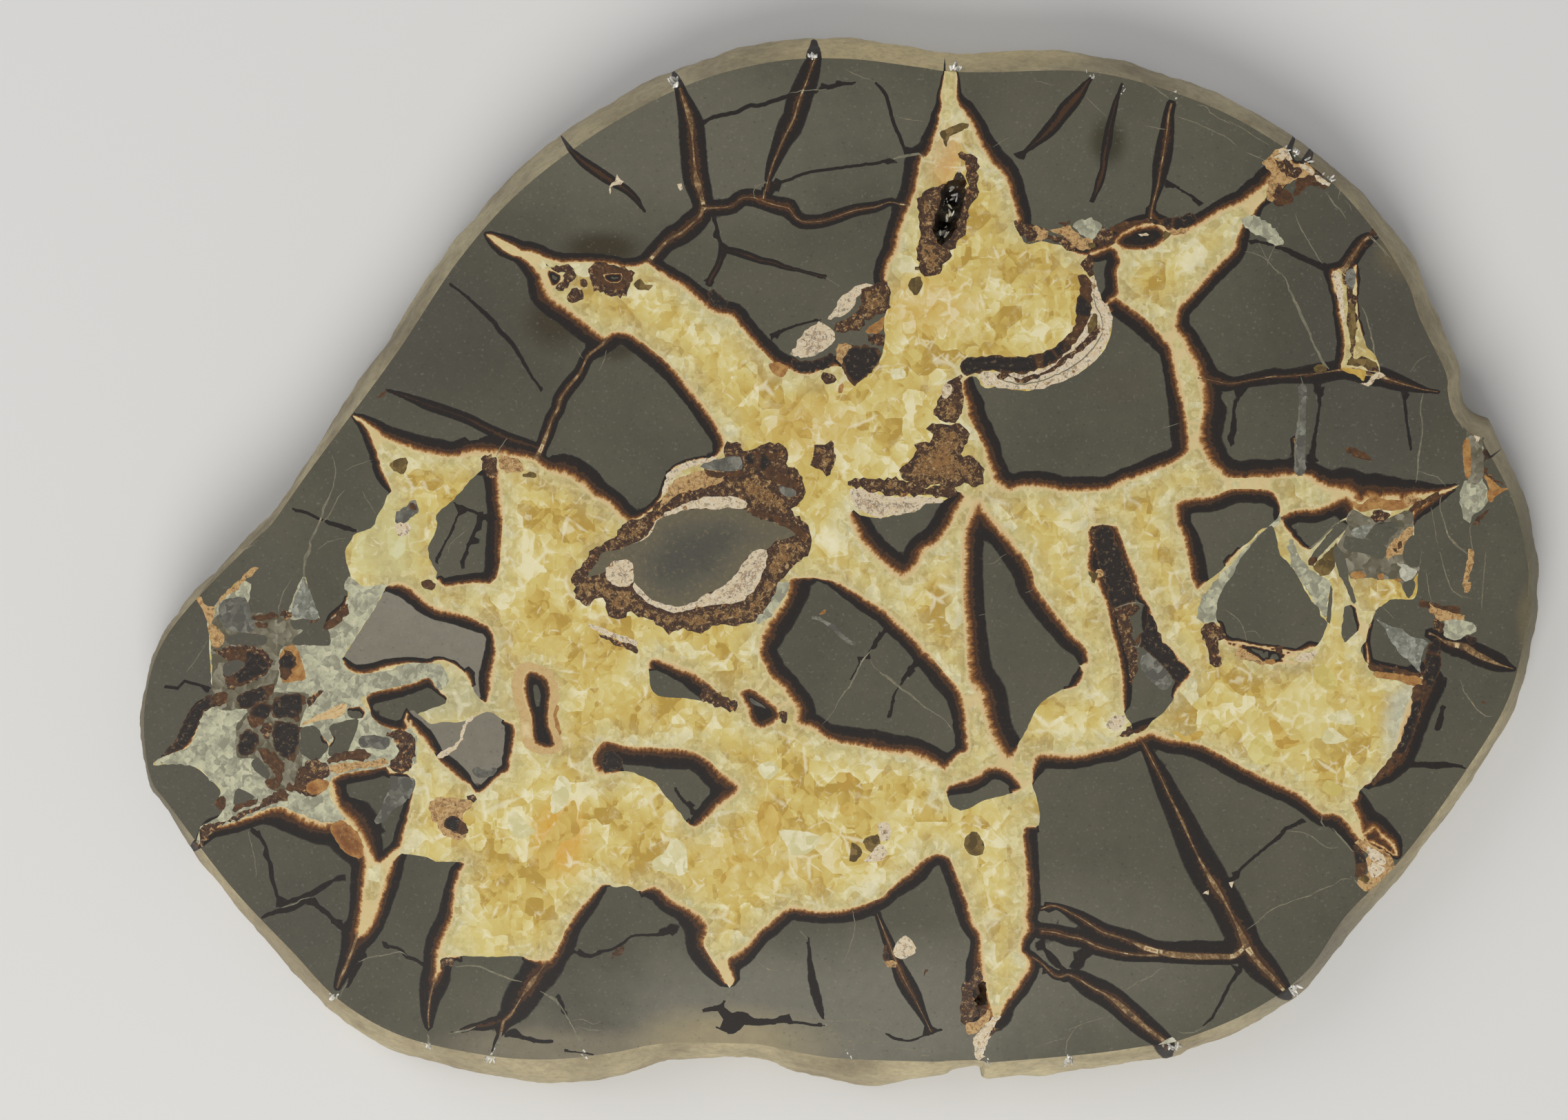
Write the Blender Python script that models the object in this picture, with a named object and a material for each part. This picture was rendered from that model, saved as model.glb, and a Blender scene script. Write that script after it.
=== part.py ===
"""Septarian nodule slice: one sawn and polished slab of a cracked mudstone concretion.

The slab lies flat on its sawn back. The polished face looks up along +Z, the long way of
the slice runs along X, and the origin is the middle of the slab's box at its underside.
"""
import math

import bmesh
import bpy
from mathutils import Vector

MM = 0.001

# Driving dimensions, in millimetres
THICKNESS = 12.0
WIDEST_LEVEL = 2.5
BACK_EDGE_EASE = 0.8
FACE_EDGE_ROUND = 0.3
POINTS_PER_STRETCH = 2
NORMAL_SPREAD = 3

# The widest line of the weathered rim, clockwise from the top as seen from above:
# x, y, and how far the polished face's edge lies inside it.
RIM = [
    (0.9, 62.5, 3.3), (9.6, 61.5, 3.3), (13.0, 60.9, 3.2), (18.2, 60.9, 3.3),
    (28.1, 60.8, 3.1), (35.8, 59.2, 2.9), (44.4, 56.2, 2.9), (51.3, 52.4, 2.8),
    (59.0, 47.2, 3.0), (65.1, 40.8, 3.3), (69.0, 34.8, 3.4), (70.7, 30.5, 3.5),
    (73.8, 24.1, 3.5), (74.0, 21.5, 3.3), (74.2, 19.3, 3.0), (75.3, 18.0, 2.8),
    (77.3, 17.3, 3.0), (78.1, 15.9, 3.3), (81.4, 8.9, 3.5), (83.0, 1.6, 3.5),
    (83.1, -2.7, 3.5), (82.9, -7.0, 3.5), (80.6, -16.5, 3.6), (75.1, -26.1, 3.6),
    (68.3, -35.7, 3.5), (62.2, -42.7, 3.4), (57.1, -49.7, 3.3), (50.2, -54.6, 3.2),
    (41.6, -58.5, 3.4), (36.4, -59.6, 3.5), (29.4, -60.6, 3.5), (18.2, -61.7, 3.6),
    (18.0, -60.4, 2.4), (17.2, -59.9, 1.9), (16.3, -59.6, 1.8), (14.1, -60.6, 2.8),
    (12.0, -61.5, 3.5), (4.5, -62.5, 4.6), (-1.1, -61.9, 4.3), (-5.5, -60.7, 3.8),
    (-9.4, -59.4, 3.3), (-12.5, -59.3, 3.3), (-17.7, -59.4, 3.5), (-21.2, -60.1, 3.9),
    (-26.0, -61.6, 4.4), (-34.0, -62.5, 4.5), (-42.3, -61.6, 4.2), (-52.8, -58.8, 3.9),
    (-60.7, -53.9, 3.6), (-66.8, -47.5, 3.5), (-73.8, -39.4, 3.5), (-80.3, -29.6, 3.4),
    (-82.5, -25.6, 3.3), (-83.1, -19.9, 3.3), (-82.6, -14.7, 3.3), (-80.8, -8.9, 3.3),
    (-77.0, -3.5, 3.4), (-69.3, 4.3, 3.5), (-67.3, 6.3, 3.5), (-63.4, 12.4, 3.7),
    (-54.1, 26.3, 4.0), (-46.2, 37.9, 4.0), (-38.4, 46.4, 3.6), (-28.4, 54.3, 3.3),
    (-18.0, 59.4, 3.2), (-8.1, 62.0, 3.2),
]

# The rim's side from the sawn back up to the face: level as a share of the height above
# the widest line, and the share of the way in towards the face's edge.
SIDE = [(0.36, 0.24), (0.68, 0.58), (0.9, 0.88)]

# The open crystal pocket in the face
POCKET_CENTRE = (13.1, 41.5)
POCKET_SIZE = (2.8, 8.4, 7.0)
POCKET_TURN = math.radians(-18.0)

LIMESTONE_COLOUR = (0.115, 0.105, 0.09, 1.0)
LIMESTONE_ROUGHNESS = 0.3


def clear_scene():
    for item in list(bpy.data.objects):
        bpy.data.objects.remove(item, do_unlink=True)


def curve_point(before, start, end, after, share):
    """A point on the smooth curve from start to end (Catmull-Rom)."""
    straight = 2 * start
    pull = (end - before) * share
    bend = (2 * before - 5 * start + 4 * end - after) * share ** 2
    twist = (3 * start - before - 3 * end + after) * share ** 3
    return 0.5 * (straight + pull + bend + twist)


def smooth_outline():
    """The rim's points with the stretches between them filled in; z holds the run."""
    knots = [Vector(knot) for knot in RIM]
    count = len(knots)
    points = []
    for i in range(count):
        four = [knots[(i + shift) % count] for shift in (-1, 0, 1, 2)]
        for step in range(POINTS_PER_STRETCH):
            points.append(curve_point(*four, step / POINTS_PER_STRETCH))
    return points


def inward_directions(points):
    """The way towards the slab's middle, square to the rim, evened out over neighbours."""
    count = len(points)
    directions = []
    for i in range(count):
        along = points[(i + NORMAL_SPREAD) % count] - points[i - NORMAL_SPREAD]
        directions.append(Vector((along.y, -along.x)).normalized())
    return directions


def rim_levels():
    """Each ring of the slab, from the back up: level, fixed inset, share of the run."""
    climb = THICKNESS - WIDEST_LEVEL
    levels = [(0.0, BACK_EDGE_EASE, 0.0), (BACK_EDGE_EASE, BACK_EDGE_EASE / 4, 0.0),
              (WIDEST_LEVEL, 0.0, 0.0)]
    for height_share, run_share in SIDE:
        levels.append((WIDEST_LEVEL + climb * height_share, 0.0, run_share))
    levels.append((THICKNESS - FACE_EDGE_ROUND, 0.0, 1.0))
    levels.append((THICKNESS, FACE_EDGE_ROUND, 1.0))
    return levels


def slab_mesh():
    """The slab grown from its back face, one ring at a time."""
    points = smooth_outline()
    inward = inward_directions(points)
    rings = []
    for level, inset, share in rim_levels():
        ring = []
        for point, way in zip(points, inward):
            place = Vector((point.x, point.y)) + way * (inset + share * point.z)
            ring.append(Vector((place.x, place.y, level)) * MM)
        rings.append(ring)

    shape = bmesh.new()
    back_corners = [shape.verts.new(place) for place in rings[0]]
    top = shape.faces.new(back_corners)
    for ring in rings[1:]:
        top = bmesh.ops.extrude_discrete_faces(shape, faces=[top])["faces"][0]
        for corner, place in zip(top.verts, ring):
            corner.co = place
    shape.faces.new(back_corners)
    bmesh.ops.recalc_face_normals(shape, faces=shape.faces)
    mesh = bpy.data.meshes.new("nodule_slice")
    shape.to_mesh(mesh)
    shape.free()
    return mesh


def stone_material():
    material = bpy.data.materials.new("polished_mudstone")
    material.use_nodes = True
    shader = material.node_tree.nodes["Principled BSDF"]
    shader.inputs["Base Color"].default_value = LIMESTONE_COLOUR
    shader.inputs["Roughness"].default_value = LIMESTONE_ROUGHNESS
    shader.inputs["Metallic"].default_value = 0.0
    return material


def pocket_cutter():
    """A stretched, turned ball that hollows the crystal pocket into the face."""
    mesh = bpy.data.meshes.new("pocket_cutter")
    shape = bmesh.new()
    bmesh.ops.create_icosphere(shape, subdivisions=2, radius=0.5)
    for corner in shape.verts:
        corner.co = Vector([corner.co[i] * POCKET_SIZE[i] * MM for i in range(3)])
    shape.to_mesh(mesh)
    shape.free()
    cutter = bpy.data.objects.new("pocket_cutter", mesh)
    cutter.location = (POCKET_CENTRE[0] * MM, POCKET_CENTRE[1] * MM, THICKNESS * MM)
    cutter.rotation_euler = (0.0, 0.0, POCKET_TURN)
    cutter.hide_render = True
    cutter.display_type = "WIRE"
    bpy.context.collection.objects.link(cutter)
    return cutter


def make_slice():
    mesh = slab_mesh()
    slab = bpy.data.objects.new("nodule_slice", mesh)
    bpy.context.collection.objects.link(slab)
    mesh.materials.append(stone_material())
    cut = slab.modifiers.new("crystal_pocket", "BOOLEAN")
    cut.operation = "DIFFERENCE"
    cut.solver = "EXACT"
    cut.object = pocket_cutter()
    return slab


clear_scene()
make_slice()
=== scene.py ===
import math

import bpy
import numpy as np
from mathutils import Matrix, Vector, kdtree, noise
from mathutils.geometry import delaunay_2d_cdt


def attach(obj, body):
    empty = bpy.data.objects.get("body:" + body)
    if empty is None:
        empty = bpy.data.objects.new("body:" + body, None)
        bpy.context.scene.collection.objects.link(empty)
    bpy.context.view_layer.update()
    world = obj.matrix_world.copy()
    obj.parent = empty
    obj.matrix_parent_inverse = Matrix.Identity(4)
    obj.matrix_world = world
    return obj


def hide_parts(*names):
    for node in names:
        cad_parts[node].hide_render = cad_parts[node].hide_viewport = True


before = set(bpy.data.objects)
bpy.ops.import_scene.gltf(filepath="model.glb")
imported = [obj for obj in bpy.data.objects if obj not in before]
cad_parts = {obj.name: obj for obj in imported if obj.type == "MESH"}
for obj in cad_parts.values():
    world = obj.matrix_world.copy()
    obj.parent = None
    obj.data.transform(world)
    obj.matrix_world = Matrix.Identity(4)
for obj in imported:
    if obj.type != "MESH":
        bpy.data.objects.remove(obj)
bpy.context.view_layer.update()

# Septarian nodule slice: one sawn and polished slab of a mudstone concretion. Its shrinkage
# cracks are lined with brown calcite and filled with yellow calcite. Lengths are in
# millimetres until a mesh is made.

MM = 0.001

# The view that the outlines were drawn in: its width, its middle, the spot straight below
# it and its focal length, all in pixels, the way back from it, and where it stands
VIEW_WIDTH = 2274
VIEW_MIDDLE = (1137, 812)
VIEW_PLUMB = (1228, 643)
VIEW_FOCAL = 4247
VIEW_BACK = Vector((VIEW_PLUMB[0] - VIEW_MIDDLE[0], VIEW_MIDDLE[1] - VIEW_PLUMB[1], VIEW_FOCAL))
VIEW_BACK = Vector([round(part, 8) for part in VIEW_BACK.normalized()])
VIEW_PLACE = Vector((1.15, 14.50, 352.3))
VIEW_RIGHT = Vector((0, 1, 0)).cross(VIEW_BACK).normalized()
VIEW_UP = VIEW_BACK.cross(VIEW_RIGHT)
SENSOR = 36.0

# The slab
THICKNESS = 12.0
WIDEST_LEVEL = 2.5
FACE_STEP = 0.5
BACK_STEP = 1.6
PIXEL = (VIEW_PLACE.z - THICKNESS) / VIEW_FOCAL
FACE_SPACING = 0.95
BACK_SPACING = 2.4
BACK_SPREAD = 1.035
SEED = 7

# The widest line of the weathered rim, clockwise from the top as seen from above:
# x and y in the view's pixels, and how many mm the polished face's edge lies inside it
RIM = """
1226 56 3.3, 1332 68 3.3, 1374 75 3.2, 1437 75 3.3, 1558 76 3.1, 1653 95 2.9, 1758 132 2.9,
1843 179 2.8, 1937 242 3.0, 2011 321 3.3, 2058 395 3.4, 2079 447 3.5, 2116 526 3.5, 2118 558 3.3,
2121 584 3.0, 2134 600 2.8, 2158 609 3.0, 2168 626 3.3, 2208 711 3.1, 2227 800 2.9, 2227 853 2.8,
2224 905 2.8, 2195 1021 2.8, 2126 1137 2.9, 2042 1253 3.0, 1968 1337 3.4, 1905 1421 3.3,
1821 1479 3.2, 1716 1526 3.4, 1653 1539 3.5, 1568 1550 3.5, 1433 1563 3.6, 1431 1547 2.4,
1421 1541 1.9, 1410 1538 1.8, 1384 1550 2.8, 1358 1560 3.5, 1268 1572 4.6, 1200 1564 4.3,
1147 1550 3.8, 1100 1534 3.3, 1063 1532 3.3, 1000 1533 3.5, 958 1542 3.9, 901 1559 4.4, 805 1569 4.5,
705 1558 4.2, 579 1524 3.9, 484 1466 3.6, 410 1389 3.5, 326 1292 3.1, 247 1174 2.4, 221 1126 2.0,
213 1058 1.7, 218 995 1.5, 239 926 1.4, 284 860 1.4, 376 766 1.4, 400 742 1.5, 447 668 1.9,
558 500 2.8, 653 358 2.8, 747 255 2.8, 868 158 3.3, 995 95 3.2, 1116 62 3.2
"""
RIM_STEPS = 16

# The rim's side, from the back up: level, fixed inset, share of the way in to the face
SIDE_LEVELS = [0.0, 0.8, WIDEST_LEVEL, 5.92, 8.96, 11.05, 11.7, 12.0]
SIDE_INSETS = [0.8, 0.2, 0.0, 0.0, 0.0, 0.0, 0.0, 0.3]
SIDE_SHARES = [0.0, 0.0, 0.0, 0.24, 0.58, 0.88, 1.0, 1.0]
SIDE_RINGS = [11.75, 11.3, 10.6, 9.7, 8.7, 7.6, 6.5, 5.4, 4.4, 3.4, WIDEST_LEVEL, 1.6, 0.8,
              0.0]

# Colours of the lining from the filling (0) to the mudstone (1)
LINING_LAYERS = (
    (0.0, "#d0b584"), (0.05, "#bb9159"), (0.11, "#91612d"), (0.22, "#643b17"), (0.31, "#38210f"),
    (0.4, "#4a3018"), (0.48, "#20150d"), (0.75, "#17110c"), (1.0, "#1f1913"))

# Kinds of smaller calcite bodies: name, grain width in mm, tones
SPARS = (
    ("pale", "sugary", 1.2, "#8d8b75 #a2a088 #b6b496 #c4c1a3"),
    ("grey", "glassy_grey", 1.3, "#55534a #6a685c #827f74"),
    ("murk", "clouded", 1.6, "#5a5440 #6a6450 #7c7663 #8d8773"),
    ("honey", "honey", 2.4, "#b8923f #c6a64f #d1b667"),
    ("ivory", "ivory", 1.8, "#cdc390 #d8cfa2 #e2dbb8"),
    ("straw", "straw", 2.2, "#c5b364 #cfbf72 #d7ca88"),
    ("umber", "umber", 1.3, "#544320 #6b5629 #81693a"),
    ("blue", "milky", 1.0, "#6c6c60 #828276 #a1a193"),
    ("fringe", "white_fringe", 0.8, "#a7a591 #b8b6a2 #c8c5b2"),
)

# Kinds that grew in layers: name, the depth in mm over which its colours follow, how far
# specks shift them, speck width in mm, colours
LAYERED = (
    ("crust", "calcite_brown_crust", 2.9, 2.4, 0.8,
     "#b8905a #7d4f24 #3d2412 #21140b #5d3a1c #1b110a #a8804a #4a2d16 #8a6335"),
    ("dark", "calcite_black_crust", 0.6, 0.7, 0.8,
     "#603c17 #3a230e #22160b #18100a #150e09 #1f150d"),
    ("shell", "calcite_cream_shell", 2.5, 2.1, 0.7,
     "#7c5a33 #bda176 #e0d6c0 #cbb48c #dcd0b6 #8e6a40 #ded4bd #c3a87e"),
    ("tan", "calcite_tan", 1.6, 2.2, 0.8, "#6b4522 #a9804c #c6a46e #8d6231 #c9aa76 #a47a45"),
    ("halo", "calcite_cream", 1.0, 0.6, 0.8, "#c2a168 #d6bf8c #dcc898"),
    ("amber", "calcite_amber", 1.4, 1.2, 1.3, "#b58a4c #94602a #75461a #9c682f"),
    # In the open pocket the dark druse is partly painted shade: it darkens to nearly black over the first
    # millimetre in from the pocket's edge.
    ("void", "calcite_dark_druse_and_painted_shade", 1.0, 0.4, 0.9, "#33230f #1a120a #0d0906 #0a0705"),
    ("line", "calcite_hairline", 0.3, 1.0, 0.9, "#67634f #8a856f #a6a088"),
    ("vein", "calcite_vein", 0.28, 1.3, 1.0, "#3f2a16 #7d5f39 #c3ac80 #d6c69f #9a7c50"),
    ("mudcore", "mudstone_stained", 5.6, 0.5, 3.0, "#655c46 #625b47 #5a5545 #504d40 #4b493e #49473d"),
)

# Soft patches in the mudstone, in the calcite and on the rim: middle and half-widths in the
# view's pixels, colour, strength. Most are staining in the stone; the painted sheen and light are noted at
# their rows.
MUD_STAINS_AND_SHEEN = (
    # The first eight mudstone patches are painted sheen and painted shade from the polish: lighter to the
    # north and at the bottom, darker to the north-east, north-west and west. The rest are real staining
    # and brown halos.
    (1020, 200, 420, 150, "#6a6757", 0.65), (1560, 260, 300, 120, "#605d4d", 0.5),
    (1180, 1470, 460, 130, "#7d796b", 0.7), (1560, 1400, 260, 160, "#6c6859", 0.6),
    (2000, 480, 200, 330, "#45423a", 0.5), (620, 480, 190, 150, "#46423a", 0.6),
    (330, 1030, 170, 300, "#524e45", 0.5), (430, 1330, 130, 100, "#4c4a3f", 0.5),
    (860, 1520, 260, 40, "#837a65", 0.8), (1050, 1510, 170, 60, "#9c8f6e", 0.9),
    (872, 362, 74, 32, "#33290f", 0.9), (806, 464, 62, 58, "#362b13", 0.8),
    (892, 500, 44, 30, "#37301a", 0.85), (1607, 209, 32, 44, "#35301a", 0.85),
    (2030, 365, 40, 40, "#6b5f45", 0.7), (1620, 560, 60, 30, "#57503d", 0.5),
    (2216, 900, 22, 60, "#6e6447", 0.7),
)
CALCITE_STAINS = (
    (812, 1215, 50, 74, "#d09a26", 0.8), (1345, 440, 90, 60, "#cf9f45", 0.35),
    (1370, 225, 30, 60, "#cf9f64", 0.75), (1180, 620, 90, 60, "#cba552", 0.35),
    (900, 700, 60, 30, "#c9bd8a", 0.5), (640, 1010, 130, 50, "#a9a683", 0.7),
    (1560, 300, 60, 70, "#d0c283", 0.5), (1110, 1240, 160, 70, "#cdb162", 0.4),
    (700, 1370, 90, 60, "#d3c37a", 0.5), (1950, 790, 90, 80, "#b3a981", 0.7),
    (1890, 1050, 90, 70, "#d2c27a", 0.5), (560, 785, 76, 84, "#c3c598", 0.5),
    (2050, 1050, 52, 90, "#b4b8ad", 0.95),
)
RIM_STAINS_AND_PAINTED_LIGHT = (
    # The first rim patch, pale along the rim's top edge, is painted light: it lifts the slope there that
    # faces away from the key light. The others are darker and paler patches of the rind.
    (1330, 70, 300, 50, "#d2bf8e", 0.9), (230, 1100, 70, 260, "#6a6352", 0.85),
    (420, 1380, 160, 120, "#8a7d62", 0.7), (1850, 1350, 220, 160, "#736d60", 0.8),
    (2220, 850, 60, 200, "#6b6549", 0.8), (700, 130, 260, 120, "#ab9c78", 0.7),
)

# How far a crystal may stand above the polished face and how deep its foot goes in, its
# least and greatest width and half length, all in mm, and its lean and turn in degrees
PROUD = 0.1
SUNK = 0.2
CRYSTAL_WIDTHS = (0.2, 0.4)
CRYSTAL_LENGTHS = (0.3, 0.55)
CRYSTAL_LEANS = (55, 82)
CRYSTAL_TURN = 40

# Crystals: name, colour, how many stand in each group, and the groups. A group has its
# middle and half-widths in the view's pixels and the way it points in degrees.
CRYSTALS = (
    ("pocket_crystals_grey", "#c0bfba", 8, (
        (1392, 256, 5, 10, 200), (1386, 276, 6, 10, 220), (1376, 290, 7, 7, 160),
        (1394, 242, 4, 7, 240))),
    ("pocket_crystals_cream", "#ded2b4", 8, (
        (1374, 302, 9, 6, 150), (1380, 316, 7, 7, 100), (1368, 336, 6, 8, 60))),
    ("rim_crystals", "#ece9e0", 12, (
        (978, 122, 5, 9, 100), (1180, 88, 6, 7, 90), (1384, 104, 6, 7, 75), (1582, 116, 6, 8, 60),
        (1627, 132, 5, 8, 60), (1699, 148, 5, 9, 55), (1868, 226, 12, 8, 45), (1885, 244, 12, 10, 20),
        (1916, 262, 12, 6, 20), (487, 1442, 5, 8, 240), (622, 1504, 5, 10, 260), (714, 1524, 6, 10, 250),
        (843, 1520, 6, 8, 280), (1225, 1520, 10, 8, 300), (1425, 1524, 6, 10, 280),
        (1550, 1530, 4, 8, 280), (1697, 1514, 12, 6, 300), (1873, 1432, 8, 6, 310))),
)
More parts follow.
